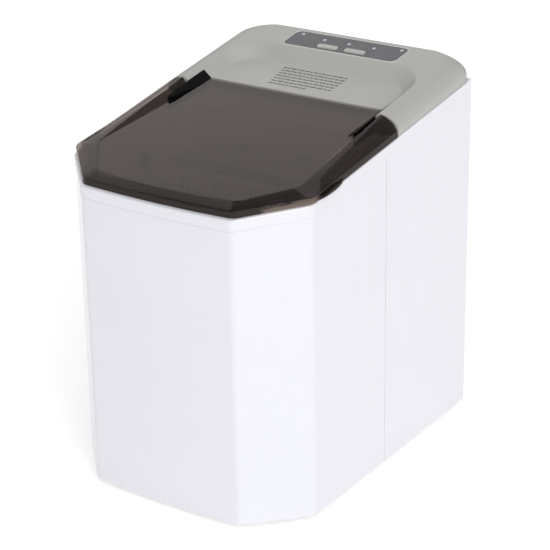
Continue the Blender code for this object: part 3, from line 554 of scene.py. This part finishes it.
FINS = metal("aluminium_fins", (0.70, 0.71, 0.72), 0.38, (1, 10, 1))
ENAMEL = plastic("compressor_black", (0.020, 0.020, 0.022), 0.42, 900, 0.00006, 0.15, 0.06, 0.2)
RUBBER = plastic("rubber", (0.022, 0.022, 0.022), 0.72, 3500, 0.00006, 0.15, 0.08)
FOAM = plastic("foam", (0.76, 0.70, 0.55), 0.92, 700, 0.0006, 0.08, 0.04)
BOARD = board_green("circuit_board")
HOSE = plastic("silicone_hose", (0.66, 0.66, 0.63), 0.48, 1500, 0.00003, 0.03)
PRINT = plastic("print_grey", (0.09, 0.085, 0.08), 0.5, 5000, 0.00001, 0.05)

NODE_MATERIALS = {
    "white_gloss": WHITE, "liner_white": LINER, "cover_grey": GREY, "hinge_black": HINGE_BLACK_AND_PAINTED_SHADE,
    "panel_charcoal": CHARCOAL, "button_silver": SILVER, "light_guide": LED, "basket_grey": BASKET,
    "steel": STEEL, "copper": COPPER, "aluminium_fins": FINS, "compressor_black": ENAMEL, "rubber": RUBBER,
    "foam": FOAM, "circuit_board": BOARD, "silicone_hose": HOSE, "lid_smoke": SMOKE,
}


def dress_cad_nodes():
    """Every CAD node gets the full material of its slot."""
    for part in frame["record"]["subparts"]:
        obj = frame["nodes"][part["node"]]
        material = NODE_MATERIALS[part["material_slot"]]
        obj.data.materials.clear()
        obj.data.materials.append(material)


# ---------------------------------------------------------------- case

SIDE_STATIONS = (
    (CREASE_Y - 0.0016, 0.0), (CREASE_Y - 0.0006, 0.00032), (CREASE_Y + 0.0006, 0.00032),
    (CREASE_Y + 0.0016, 0.0),
    (SEAM_Y - 0.0012, 0.0), (SEAM_Y - 0.0002, -0.0003), (SEAM_Y + 0.0002, -0.0003), (SEAM_Y + 0.0012, 0.0),
    (RIM_REAR + 0.0002, 0.0), (RIM_REAR + 0.0005, 0.0),
)


def case_wall(name, inside):
    """One half of the case wall, with a rolled bottom edge and a soft top edge."""
    def top(y):
        return edge_z(y) - (RIM_HEIGHT + GAP if y < RIM_REAR + 0.0003 else 0.0)

    def ring(inset, height):
        outline = case_plan(inset, stations=SIDE_STATIONS)
        return part_of(lift(outline, height), inside)

    roll = 0.0030
    rings = [ring(roll * (1 - math.sin(a)), CASE_BOTTOM + roll * (1 - math.cos(a)))
             for a in (math.pi / 2 * k / 5 for k in range(6))]
    rings += [ring(0.0, lambda y: top(y) - 0.0006), ring(0.0002, lambda y: top(y) - 0.0001),
              ring(0.0007, top)]
    rings += [ring(WALL, top), ring(WALL, CASE_BOTTOM)]
    return loft(name, rings, "none", ring_open=True)


def make_front_shell():
    shell = case_wall("front_shell_skin", lambda p: p[1] <= SEAM_Y)
    finish(shell, WHITE, "case", ["front_shell"])


def make_rear_shell():
    shell = case_wall("rear_shell_skin", lambda p: p[1] >= SEAM_Y)
    lip = rectangle(-0.1085, 0.1085, REAR - 0.001, 0.1505, 0.0012)
    add(shell, prism("lip", lip, 0.2955, 0.3066))
    drain, gland = centre_of("drain_plug"), centre_of("cord_gland")
    fan = centre_of("fan_rotor")
    rear_vent = slots("rear_vent", 15, 0.0085, 0.0035, 0.090, lambda a, b, c: (a, REAR + c, 0.150 + b))
    side_vent = slots("side_vent", 10, 0.0085, 0.0035, 0.100,
                      lambda a, b, c: (-HALF_WIDTH + c, fan.y + a, fan.z + b))
    holes = [turned("hole", [(radius, -0.01), (radius, 0.01)], (spot.x, REAR, spot.z), "Y")
             for radius, spot in ((0.0075, drain), (0.0068, gland))]
    cut(shell, rear_vent, side_vent, *holes)
    finish(shell, WHITE, "case", ["rear_shell"], bevel=0.0005, segments=2)


def centre_of(node):
    low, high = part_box(node)
    return (Vector(low) + Vector(high)) / 2


def screw_head(centre, axis, sign, radius=0.0030):
    """Domed cross-slot screw head."""
    profile = [(radius, 0), (radius, 0.0006 * sign), (radius * 0.85, 0.0012 * sign),
               (radius * 0.5, 0.0016 * sign)]
    head = turned("screw", profile, centre, axis, steps=24)
    slot_size = (radius * 1.3, radius * 0.28)
    along = {"X": 0, "Y": 1, "Z": 2}[axis]
    for long_axis in range(3):
        if long_axis == along:
            continue
        half = [slot_size[1] / 2] * 3
        half[long_axis] = slot_size[0] / 2
        half[along] = 0.0009
        middle = Vector(centre)
        middle[along] += 0.0017 * sign
        cut(head, box("slot", middle - Vector(half), middle + Vector(half)))
    return head


def make_screws():
    """Screws that hold the rear cover and the base."""
    heads = []
    for x in (-0.100, 0.100):
        for z in (0.060, 0.275):
            heads.append(screw_head((x, REAR + 0.0001, z), "Y", 1))
    for x in (-0.095, 0.0, 0.095):
        for y in (-0.060, 0.060):
            heads.append(screw_head((x, y, CASE_BOTTOM - 0.0001), "Z", -1))
    finish(join("case_screws", heads), STEEL, "case")


def make_base():
    pan = loft("base_pan_skin", [lift(case_plan(WALL + GAP + inset), z) for inset, z in
                                 ((0.0006, CASE_BOTTOM), (0, CASE_BOTTOM + 0.0006),
                                  (0, CASE_BOTTOM + 0.0026))])
    cut(pan,
        slots("pan_vent", 9, 0.009, 0.004, 0.050, lambda a, b, c: (0.02 + a, 0.088 + b, CASE_BOTTOM + c)))
    for i in range(7):
        groove = rectangle(-0.085, 0.085, -0.101 + i * 0.019, -0.099 + i * 0.019, 0.0009, 4)
        cut(pan, prism("groove", groove, CASE_BOTTOM - 0.001, CASE_BOTTOM + 0.0008))
    finish(pan, LINER, "case", ["base_pan"])
    for name in ("front_left", "front_right", "rear_left", "rear_right"):
        spot = centre_of("foot_" + name)
        profile = [(0.0062, 0.0006), (0.0066, 0.0), (0.0078, 0.0), (0.0085, 0.0004), (0.0090, 0.0012),
                   (0.0094, 0.0030), (0.0095, CASE_BOTTOM - GAP), (0.0070, CASE_BOTTOM - GAP)]
        foot = turned("foot_%s_skin" % name, profile, (spot.x, spot.y, 0))
        finish(foot, RUBBER, "case", ["foot_" + name])


# ---------------------------------------------------------------- ice compartment

def tank_plan(half_width, front, rear, radius=0.010):
    return plan(half_width, front, rear, cut=(0.030, 0.036), bow=0.004, radius=radius, rear_radius=0.009)


def make_tank():
    """Inner tank whose flange is the raised rim band round the top of the case."""
    proud = -0.0006

    def flange(inset, height, rear=RIM_REAR):
        return lift(case_plan(inset, rear=rear, rear_radius=0.001), height)

    def wall(half_width, front, rear, height):
        return lift(tank_plan(half_width, front, rear), height)

    rings = [
        wall(0.0860, -0.1260, 0.0010, TANK_FLOOR_Z),
        wall(0.0900, -0.1300, 0.0050, TANK_FLOOR_Z + 0.0010),
        wall(0.0912, -0.1312, 0.0062, TANK_FLOOR_Z + 0.0050),
        wall(0.0938, -0.1338, 0.0088, LEDGE_Z - 0.0006),
        wall(0.0942, -0.1342, 0.0092, LEDGE_Z),
        wall(0.0982, -0.1382, 0.0132, LEDGE_Z),
        wall(0.0986, -0.1386, 0.0136, LEDGE_Z + 0.0010),
        wall(0.0998, -0.1398, 0.0162, lambda y: edge_z(y) - 0.0012),
        wall(0.1004, -0.1404, 0.0168, lambda y: edge_z(y) - 0.0003),
        wall(0.1012, -0.1412, 0.0174, edge_z),
        flange(proud + 0.0012, edge_z, RIM_REAR - 0.0008),
        flange(proud + 0.0004, lambda y: edge_z(y) - 0.0003),
        flange(proud, lambda y: edge_z(y) - 0.0010),
        flange(proud, lambda y: edge_z(y) - RIM_HEIGHT + 0.0007),
        flange(proud + 0.0003, lambda y: edge_z(y) - RIM_HEIGHT + 0.0001),
        flange(0.0020, lambda y: edge_z(y) - RIM_HEIGHT, RIM_REAR - 0.002),
        flange(0.0020, lambda y: edge_z(y) - WALL, RIM_REAR - 0.002),
        wall(0.1022, -0.1422, 0.0184, lambda y: edge_z(y) - WALL),
        wall(0.1009, -0.1409, 0.0159, LEDGE_Z - WALL),
        wall(0.0964, -0.1364, 0.0114, LEDGE_Z - WALL),
        wall(0.0936, -0.1334, 0.0084, TANK_FLOOR_Z - WALL),
    ]
    tank = loft("inner_tank_skin", rings)
    for x in (-0.030, 0.030):
        cut(tank, turned("pipe_bore", [(0.0050, -0.02), (0.0050, 0.02)], (x, 0.012, 0.2575), "Y"))
    cut(tank, turned("drain_bore", [(0.004, -0.01), (0.004, 0.01)], (0.066, -0.03, TANK_FLOOR_Z), steps=24))
    finish(tank, LINER, "case", ["inner_tank"])


def make_rim_band():
    """Glossy outer face of the flange, the same paint as the case."""
    proud = -0.0007

    def ring(inset, height, rear):
        outline = case_plan(inset, rear=rear, rear_radius=0.0005)
        return part_of(lift(outline, height), lambda p: p[1] < rear - 0.0003)

    rear = RIM_REAR + 0.0001
    rings = [
        ring(0.0080, lambda y: edge_z(y) + 0.0001, rear),
        ring(proud + 0.0012, lambda y: edge_z(y) + 0.0001, rear),
        ring(proud + 0.0004, lambda y: edge_z(y) - 0.0003, rear),
        ring(proud, lambda y: edge_z(y) - 0.0011, rear),
        ring(proud, lambda y: edge_z(y) - RIM_HEIGHT + 0.0007, rear),
        ring(proud + 0.0003, lambda y: edge_z(y) - RIM_HEIGHT, rear),
        ring(0.0004, lambda y: edge_z(y) - RIM_HEIGHT, rear),
        ring(0.0004, lambda y: edge_z(y) - 0.0008, rear),
        ring(0.0080, lambda y: edge_z(y) - 0.0008, rear),
    ]
    finish(loft("rim_band", rings, "none", ring_open=True), WHITE, "case")


def make_basket():
    def ring(half_width, front, rear, height):
        outline = plan(half_width, front, rear, cut=(0.030, 0.036), bow=0.004, radius=0.009,
                       rear_radius=0.007)
        return lift(outline, height)

    low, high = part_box("ice_basket")
    rear, floor, top = high[1], low[2], high[2]
    rings = [
        ring(0.0850, -0.1260, rear - 0.005, floor + 0.002),
        ring(0.0862, -0.1272, rear - 0.004, floor + 0.0032),
        ring(0.0884, -0.1294, rear - 0.002, top - 0.0010),
        ring(0.0892, -0.1302, rear - 0.0014, top - 0.0001),
        ring(0.0966, -0.1366, rear - 0.0002, top),
        ring(0.0974, -0.1374, rear, top - 0.0006),
        ring(0.0975, -0.1375, rear, top - 0.0020),
        ring(0.0970, -0.1370, rear, LEDGE_Z + GAP),
        ring(0.0908, -0.1318, rear - 0.0002, LEDGE_Z + GAP),
        ring(0.0884, -0.1294, rear - 0.0020, floor + 0.0012),
        ring(0.0870, -0.1280, rear - 0.0030, floor),
    ]
    basket = loft("ice_basket_skin", rings)
    low_rear = rectangle(-0.0865, 0.0865, 0.2010, 0.2600, 0.004)
    cut(basket, prism("low_rear", low_rear, rear - 0.0080, rear + 0.01, "Y"))
    middle = (rear - 0.1315) / 2
    cut(basket,
        slots("wall_slots", 9, 0.0125, 0.0055, 0.050, lambda a, b, c: (a, middle + c, 0.185 + b), 0.2),
        slots("side_slots", 4, 0.0125, 0.0055, 0.050, lambda a, b, c: (c, middle + 0.008 + a, 0.185 + b),
              0.4),
        slots("floor_slots", 11, 0.0125, 0.0055, 0.050, lambda a, b, c: (a, middle + 0.006 + b, floor + c)))
    finish(basket, BASKET, "ice_basket", ["ice_basket"])


def make_tray():
    def arc(radius, start, end, steps=28):
        turns = [math.radians(start + (end - start) * i / steps) for i in range(steps + 1)]
        return [(TRAY.y + radius * math.cos(a), TRAY.z + radius * math.sin(a)) for a in turns]

    tray = prism("water_tray_skin", arc(TRAY_R + 0.002, 195, 345), -TRAY_HALF, TRAY_HALF, "X")
    hollow = arc(TRAY_R, 190, 350) + [(TRAY.y + 0.03, TRAY.z + 0.02), (TRAY.y - 0.03, TRAY.z + 0.02)]
    cut(tray, prism("trough", hollow, 0.002 - TRAY_HALF, TRAY_HALF - 0.002, "X"))
    for side in (-1, 1):
        ear = [(TRAY.y - 0.012, TRAY.z - 0.014), (TRAY.y + 0.012, TRAY.z - 0.014),
               (TRAY.y + 0.005, TRAY.z + 0.005), (TRAY.y - 0.005, TRAY.z + 0.005)]
        low, high = sorted((side * (TRAY_HALF - 0.0019), side * (TRAY_HALF + 0.001)))
        add(tray, prism("ear", ear, low, high, "X"))
    finish(tray, TRAY_GREY, "water_tray", ["water_tray"], bevel=0.0006, segments=2)


def make_evaporator():
    """Cooling block with nine fingers."""
    low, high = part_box("evaporator")
    outline = rectangle(low[0], high[0], TRAY.y - 0.016, TRAY.y + 0.016, 0.004)
    rings = [lift(outline, z) for z in (0.2545, high[2])]
    block = loft("evaporator_skin", rings)
    pieces = [block]
    for row, count in ((-1, 5), (1, 4)):
        for i in range(count):
            x = (i - (count - 1) / 2) * 0.025
            profile = [(0.0012, low[2]), (0.0035, low[2] + 0.0006), (0.0048, low[2] + 0.0028),
                       (0.0055, low[2] + 0.0065), (0.0055, 0.2540)]
            pieces.append(turned("finger", profile, (x, TRAY.y + row * 0.0075, 0), steps=28))
    finish(join("evaporator_skin", pieces), STEEL, "case", ["evaporator"], bevel=0.0006,
           segments=2)


def make_shovel():
    low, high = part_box("ice_shovel")
    comb = box("ice_shovel_skin", (low[0], low[1], 0.2360), (high[0], low[1] + 0.0025, high[2]))
    cut(comb, slots("comb_gaps", 4, 0.034, 0.009, 0.026, lambda a, b, c: (a, low[1] + c, 0.2360 + b), 0.04))
    for x in (-0.0745, -0.0575, -0.017, 0.0, 0.017, 0.0575, 0.0745):
        add(comb,
            box("rib", (x - 0.0008, low[1] + 0.001, 0.2380),
                (x + 0.0008, low[1] + 0.0042, high[2] - 0.001)))
    for side in (-1, 1):
        inner, outer = sorted((side * 0.0825, side * 0.085))
        add(comb, box("arm", (inner, low[1] + 0.001, 0.2490), (outer, high[1], high[2])))
    finish(comb, LINER, "ice_shovel", ["ice_shovel"], bevel=0.0004, segments=2)


# ---------------------------------------------------------------- lid

LID_STATIONS = tuple((y, 0.0) for y in (-0.085, -0.075, -0.065, -0.050, -0.030, -0.010, 0.010,
                                        CREST_BEND_Y))
LID_REAR = HINGE.y + 0.0006


def lid_rings():
    """Skirt, bevel and banks: the bevel is straight round the front, and bulges along the wings."""
    def skirt(y):
        return edge_z(y) + SKIRT_RISE + 0.0004 * ramp(y, CREST_START_Y, CREST_BEND_Y)

    def outline(inset):
        share = inset / BEVEL
        points = plan(LID_HALF_WIDTH - inset, LID_FRONT + BEVEL_DEPTH * share, LID_REAR,
                      cut=(0.0435 - 0.0135 * share, 0.0470 - 0.0030 * share), bow=BOW + 0.0024 * share,
                      radius=LID_CORNER + 0.004 * share, rear_radius=0, stations=LID_STATIONS)
        rear_right = points.index(max(points, key=lambda p: (p[1], p[0])))
        return points[rear_right + 1:] + points[:rear_right + 1]

    rings = [lift(outline(0.0006), lambda y: edge_z(y) + 0.0004),
             lift(outline(0.0001), lambda y: edge_z(y) + 0.0008),
             lift(outline(0.0003), lambda y: skirt(y) - 0.0005), lift(outline(0.0005), skirt)]
    bulge = ((0.0010, 0.08), (0.0024, 0.27), (0.0040, 0.48), (0.0060, 0.625), (0.0085, 0.76),
             (0.0115, 0.885),
             (0.0145, 0.965), (0.0165, 0.998))
    for inset, rise in bulge:
        straight = inset / BEVEL

        def height(y, rise=rise, straight=straight):
            share = straight + (rise - straight) * ramp(y, CREST_START_Y - 0.010, -0.055)
            return skirt(y) + share * (crest_z(y) - skirt(y))
        rings.append(lift(outline(inset), height))
    rings.append(lift(outline(BEVEL), crest_z))
    for share in (0.06, 0.5, 0.94, 1.0):
        bank = []
        for x, y in outline(BEVEL + 0.0003 * share):
            along = min(max((y - CREST_START_Y) / (LID_REAR - CREST_START_Y), 0.0), 1.0)
            x -= math.copysign(0.0127 * along * share, x)
            bank.append((x, y, crest_z(y) + min(share / 0.94, 1.0) * (window_z(y) - crest_z(y))))
        rings.append(bank)
    return rings


def finger_tab(side):
    """Half-moon lip low on the lid's side, scooped a little on top."""
    half, reach, steps = 0.0170, 0.0038, 24

    def ring(out, height):
        outline = []
        for k in range(steps + 1):
            turn = math.pi * k / steps
            x = 0.1150 + (reach + out) * math.sin(turn)
            outline.append((side * x, TAB_Y - (half + out) * math.cos(turn)))
        outline += [(side * 0.1135, TAB_Y + half), (side * 0.1135, TAB_Y - half)]
        return lift(outline, lambda y: edge_z(y) + height)

    return loft("tab", [ring(-0.0006, 0.0004), ring(0.0, 0.0009), ring(0.0, 0.0026), ring(-0.0007, 0.0031)])


def wing_end(reach, front=False):
    """Outline, across Y and Z, of what lies behind (or in front of) an arc round the hinge axis."""
    arc = [(HINGE.y - math.sqrt(reach ** 2 - (0.0015 * k) ** 2), HINGE.z + 0.0015 * k) for k in range(-10,
                                                                                                      11)]
    far = -0.05 if front else 0.1
    return arc + [(far, arc[-1][1]), (far, arc[0][1])]


def make_lid():
    lid = tongue("lid_skin", lid_rings())
    low = plan(0.1131, -0.1456, 0.08, cut=(0.0420, 0.0460))
    middle = plan(0.1118, -0.1446, 0.08, cut=(0.0412, 0.0458))
    high = plan(0.1050, -0.1402, 0.08, cut=(0.0370, 0.0455))
    cut(lid,
        loft("underside", [lift(low, lambda y: edge_z(y) - 0.004), lift(low, lambda y: edge_z(y) + 0.0030),
                                lift(middle, lambda y: edge_z(y) + 0.0046),
                                lift(high, lambda y: window_z(y) - 0.0023)]))
    for side in (-1, 1):
        inner, outer = sorted((side * BAY_HALF, side * 0.13))
        cut(lid, prism("wing_cut", wing_end(WING_REACH), inner, outer, "X"))
        inner, outer = sorted((side * BAND_INNER_X, side * (BAY_HALF + 0.0001)))
        cut(lid, box("arm_slot", (inner, -0.0050, 0.2), (outer, 0.11, 0.4)))
    barrel = [(HINGE_R, -BAND_INNER_X), (HINGE_R, BAND_INNER_X)]
    add(lid, turned("barrel", barrel, (0, HINGE.y, HINGE.z), "X"), finger_tab(-1), finger_tab(1))
    for side in (-1, 1):
        inner, outer = sorted((side * 0.0765, side * 0.09))
        cut(lid,
            turned("pin_bore", [(PIN_BORE, inner), (PIN_BORE, outer)], (0, HINGE.y, HINGE.z), "X",
                   steps=24))
    finish(lid, SMOKE, "lid", ["lid"], bevel=0.00035, segments=2, angle=38)


def make_hinges():
    # Arms and blocks are near black: painted shade of the recess where the arms enter the cover.
    for side, name in ((-1, "left"), (1, "right")):
        inner, outer = BAND_INNER_X + GAP, BAY_HALF - 0.0005
        sections = []
        for y, x in ((-0.0046, 0.0905), (0.0110, 0.0885), (0.0260, inner)):
            sections.append([(side * x, y, edge_z(y) + 0.0015), (side * outer, y, edge_z(y) + 0.0015),
                             (side * outer, y, band_z(outer, y)), (side * x, y, band_z(x, y))])
        arm = loft("hinge_arm_%s_skin" % name, sections)
        cut(arm, prism("wing_cut", wing_end(WING_REACH), -0.2, 0.2, "X"))
        finish(arm, HINGE_BLACK_AND_PAINTED_SHADE, "lid", ["hinge_arm_" + name], bevel=0.0005, segments=2)

        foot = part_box("hinge_block_" + name)[0][2]
        sections = []
        for y in (0.0225, SHELF_Y - 0.0004):
            sections.append([(side * inner, y, foot), (side * (BAY_HALF - GAP), y, foot),
                             (side * (BAY_HALF - GAP), y, band_z(BAY_HALF, y)),
                             (side * inner, y, band_z(inner, y))])
        block = loft("hinge_block_%s_skin" % name, sections)
        cut(block, prism("front_cut", wing_end(WING_REACH - 0.0004, front=True), -0.2, 0.2, "X"))
        low, high = sorted((side * (inner - 0.004), side * (inner + 0.0045)))
        cut(block,
            turned("pin_bore", [(PIN_BORE, low), (PIN_BORE, high)], (0, HINGE.y, HINGE.z), "X", steps=24))
        finish(block, HINGE_BLACK_AND_PAINTED_SHADE, "case", ["hinge_block_" + name], bevel=0.0005, segments=2)


# ---------------------------------------------------------------- cover and controls

COVER_FRONT = 0.0252


def cover_ring(half_width, rear, radius, height):
    """U-shaped line from the cover's front left corner round the rear to the front right one."""
    corners = [(-half_width, COVER_FRONT, 0), (-half_width, rear, radius), (half_width, rear, radius),
               (half_width, COVER_FRONT, 0)]
    return lift(rounded(corners, 14), height)


# Profile of the cover's flank: half width, rear, corner radius, and share of the height from edge to crest.
FLANK = (
    (0.1148, 0.1494, 0.0160, 0.08), (0.1147, 0.1494, 0.0160, 0.33), (0.1142, 0.1490, 0.0166, 0.47),
    (0.1130, 0.1485, 0.0175, 0.585), (0.1112, 0.1478, 0.0190, 0.70), (0.1090, 0.1471, 0.0205, 0.795),
    (0.1065, 0.1464, 0.0218, 0.870), (0.1035, 0.1457, 0.0230, 0.937), (0.1008, 0.1452, 0.0238, 0.980),
    (0.0985, 0.1446, 0.0240, 0.998), (0.0972, 0.1430, 0.0240, 1.0),
)


def cover_rings():
    def flank(share):
        return lambda y: edge_z(y) + share * (crest_z(y) - edge_z(y))

    def bank(share):
        return lambda y: crest_z(y) + share * (window_z(y) - crest_z(y))

    rings = [
        cover_ring(0.1140, 0.1486, 0.0160, lambda y: edge_z(y) + GAP),
        cover_ring(0.1147, 0.1493, 0.0160, lambda y: edge_z(y) + GAP + 0.0003),
    ]
    for half_width, rear, radius, share in FLANK:
        rings.append(cover_ring(half_width, rear, radius, flank(share)))
    rings.append(cover_ring(0.0965, 0.1110, 0.0340, crest_z))
    for inward, down in ((0.06, 0.064), (0.16, 0.16), (0.5, 0.5), (0.86, 0.86), (0.95, 0.946)):
        rings.append(cover_ring(0.0963 - 0.0108 * inward, 0.1102 - 0.0147 * inward, 0.0338 - 0.010 * inward,
                                bank(down)))
    rings += [cover_ring(0.0848, 0.0946, 0.0233, bank(0.99)), cover_ring(0.0835, 0.0932, 0.0228, window_z)]
    return rings


def make_cover():
    cover = tongue("top_cover_skin", cover_rings())
    bay = box("bay", (-BAY_HALF, -0.1, 0.25), (BAY_HALF, SHELF_Y, 0.4))
    pocket = loft("panel_pocket", from_crest(panel_rectangle(0.0011, 0.0062), -0.0013, 0.01))
    window = loft("panel_window", from_crest(panel_rectangle(-0.0015, 0.0038), -0.014, 0.01))
    cut(cover, bay, pocket, window)
    finish(cover, GREY, "case", ["top_cover"], bevel=0.0003, segments=2, angle=50)


def from_crest(outline, *offsets):
    """Outline repeated at offsets from the cover's top plane."""
    return [lift(outline, lambda y, offset=offset: crest_z(y) + offset) for offset in offsets]


def panel_rectangle(grow, radius):
    half_x, half_y = PANEL_SIZE[0] / 2 + grow, PANEL_SIZE[1] / 2 + grow
    return rectangle(PANEL[0] - half_x, PANEL[0] + half_x, PANEL[1] - half_y, PANEL[1] + half_y, radius)


def button_outline(middle, grow, radius):
    half_x, half_y = BUTTON_SIZE[0] / 2 + grow, BUTTON_SIZE[1] / 2 + grow
    return rectangle(middle.x - half_x, middle.x + half_x, middle.y - half_y, middle.y + half_y, radius)


def button_middle(name):
    low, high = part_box(name)
    return Vector(((low[0] + high[0]) / 2, (low[1] + high[1]) / 2))


def led_places():
    for i in range(LED_COUNT):
        x = PANEL[0] + LED_SHIFT + (i - (LED_COUNT - 1) / 2) * LED_PITCH
        at_end = i in (0, LED_COUNT - 1)
        yield x, 0.1340 if at_end else 0.1295


def make_controls():
    panel = loft("control_panel_skin", from_crest(panel_rectangle(0.0, 0.0052), -0.0010, 0.0001)
                 + from_crest(panel_rectangle(-0.0004, 0.0048), 0.0003))
    for name in ("power_button", "select_button"):
        middle = button_middle(name)
        cut(panel, loft("button_hole", from_crest(button_outline(middle, 0.0004, 0.0024), -0.01, 0.01)))
        rings = from_crest(button_outline(middle, 0.0010, 0.0024), -0.0050, -0.0016)
        rings += from_crest(button_outline(middle, 0.0, 0.0022), -0.0016, 0.0003)
        rings += from_crest(button_outline(middle, -0.0003, 0.0020), 0.0008)
        rings += from_crest(button_outline(middle, -0.0009, 0.0017), 0.0011)
        rings += from_crest(button_outline(middle, -0.0020, 0.0010), 0.00115)
        finish(loft(name + "_skin", rings), SILVER, name, [name])
    finish(panel, CHARCOAL, "case", ["control_panel"], bevel=0.0002, segments=2)

    frame_rings = [lift(panel_rectangle(grow, 0.0056), lambda y, h=height: crest_z(y) + h)
                   for grow, height in ((0.0002, -0.0010), (0.0002, 0.0003), (0.0005, 0.0005),
                                        (0.0008, 0.0003), (0.0010, -0.0010))]
    finish(loft("panel_frame", frame_rings, "none"), GREY_RIM, "case")

    pips = []
    for x, y in led_places():
        rings = []
        for radius, height in ((LED_R, 0.0002), (LED_R, 0.0004), (LED_R * 0.85, 0.00065),
                               (LED_R * 0.5, 0.0008),
                               (LED_R * 0.15, 0.00085)):
            rings.append(lift([(x + a, y + b) for a, b in circle(radius, 28)],
                              lambda v, h=height: crest_z(v) + h))
        pips.append(loft("pip", rings))
    finish(join("indicator_lights", pips), LED, "case", ["led_light_guide"])


def make_print():
    """Plain dashes on the shelf, where the maker prints its notice; no letters."""
    draw = random.Random(7)
    dashes = []
    for line in range(7):
        y = 0.0900 - line * 0.0052
        x = -0.038 + 0.0008 * line
        end = 0.027 if line < 6 else 0.004
        while x < end:
            length = draw.uniform(0.0022, 0.0062)
            stop = min(x + length, end)
            outline = rectangle(x, stop, y - 0.0009, y + 0.0009, 0.0003, 3)
            dashes.append(loft("dash", [lift(outline, lambda v: window_z(v) - 0.0002),
                                        lift(outline, lambda v: window_z(v) + 0.00005)]))
            x = stop + 0.0009
    finish(join("shelf_print", dashes), PRINT, "case")


# ---------------------------------------------------------------- rear fittings

def make_rear_fittings():
    spot = centre_of("drain_port")
    place = (spot.x, REAR, spot.z)
    port = [(0.0058, -0.0120), (0.0070, -0.0120), (0.0070, 0.0003), (0.0080, 0.0003), (0.0082, 0.0006),
            (0.0080, 0.0012), (0.0060, 0.0012), (0.0058, 0.0009)]
    finish(turned("drain_port_skin", port, place, "Y", "none"), LINER, "case",
           ["drain_port"])
    plug = [(0.0044, -0.0100), (0.0050, -0.0096), (0.0054, -0.0086), (0.0054, 0.0015), (0.0076, 0.0015),
            (0.0078, 0.0018), (0.0076, 0.0024), (0.0060, 0.0027), (0.0056, 0.0023), (0.0020, 0.0023)]
    finish(turned("drain_plug_skin", plug, place, "Y"), RUBBER, "drain_plug", ["drain_plug"])
    spot = centre_of("cord_gland")
    gland = [(0.0035, -0.0060), (0.0078, -0.0060), (0.0078, -0.0027), (0.0065, -0.0027), (0.0065, GAP),
             (0.0086, GAP), (0.0088, 0.0008), (0.0080, 0.0024), (0.0072, 0.0027), (0.0040, 0.0027),
             (0.0035, 0.0022)]
    finish(turned("cord_gland_skin", gland, (spot.x, REAR, spot.z), "Y", "none"), RUBBER, "case",
           ["cord_gland"])


# ---------------------------------------------------------------- studio

CAMERA_AZIMUTH = math.radians(34.2907)
CAMERA_ELEVATION = math.radians(23.082)
CAMERA_ROLL = math.radians(-0.9416)
CAMERA_LENS = 124.78
CAMERA_PLACE = (0.84546, -1.22473, 0.788)


def make_camera():
    back = Vector((math.sin(CAMERA_AZIMUTH) * math.cos(CAMERA_ELEVATION),
                   -math.cos(CAMERA_AZIMUTH) * math.cos(CAMERA_ELEVATION), math.sin(CAMERA_ELEVATION)))
    level = Vector((math.cos(CAMERA_AZIMUTH), math.sin(CAMERA_AZIMUTH), 0))
    upright = back.cross(level)
    right = level * math.cos(CAMERA_ROLL) + upright * math.sin(CAMERA_ROLL)
    up = upright * math.cos(CAMERA_ROLL) - level * math.sin(CAMERA_ROLL)
    data = bpy.data.cameras.new("camera")
    data.lens = CAMERA_LENS
    data.sensor_width = 36.0
    camera = bpy.data.objects.new("camera", data)
    camera.matrix_world = Matrix((right, up, back)).transposed().to_4x4()
    camera.location = CAMERA_PLACE
    bpy.context.scene.collection.objects.link(camera)
    bpy.context.scene.camera = camera


def area_light(name, place, aim, size, power):
    data = bpy.data.lights.new(name, "AREA")
    data.shape = "RECTANGLE"
    data.size, data.size_y = size
    data.energy = power
    light = bpy.data.objects.new(name, data)
    light.location = place
    light.rotation_euler = (Vector(aim) - Vector(place)).to_track_quat("-Z", "Y").to_euler()
    bpy.context.scene.collection.objects.link(light)


def make_studio():
    floor = loft("floor", [lift(circle(6.0, 64), z) for z in (-0.02, 0.0)])
    nodes = Nodes("studio_floor")
    nodes.tint(nodes.noise(6.0), (0.93, 0.93, 0.93), (0.95, 0.95, 0.95))
    nodes.shader.inputs["Roughness"].default_value = 0.9
    nodes.shader.inputs["Emission Color"].default_value = (1, 1, 1, 1)
    nodes.shader.inputs["Emission Strength"].default_value = 0.27
    floor.data.materials.append(nodes.material)
    world = bpy.data.worlds.new("studio")
    world.use_nodes = True
    background = world.node_tree.nodes["Background"]
    background.inputs["Color"].default_value = (0.99, 0.99, 1.0, 1)
    background.inputs["Strength"].default_value = 0.46
    bpy.context.scene.world = world
    area_light("key", (2.9, -2.4, 1.7), (0, 0, 0.15), (1.6, 1.6), 62)
    area_light("back", (-2.6, 2.6, 2.9), (0, 0, 0.15), (3.4, 2.6), 19)
    sun = bpy.data.lights.new("top", "SUN")
    sun.energy = 0.95
    sun.angle = math.radians(70)
    top = bpy.data.objects.new("top", sun)
    top.rotation_euler = Vector((0.30, -0.30, 0.90)).to_track_quat("Z", "Y").to_euler()
    bpy.context.scene.collection.objects.link(top)
    bpy.context.scene.view_settings.view_transform = "Standard"


def main():
    dress_cad_nodes()
    make_front_shell()
    make_rear_shell()
    make_screws()
    make_base()
    make_tank()
    make_rim_band()
    make_basket()
    make_tray()
    make_evaporator()
    make_shovel()
    make_lid()
    make_hinges()
    make_cover()
    make_controls()
    make_print()
    make_rear_fittings()
    make_camera()
    make_studio()


main()
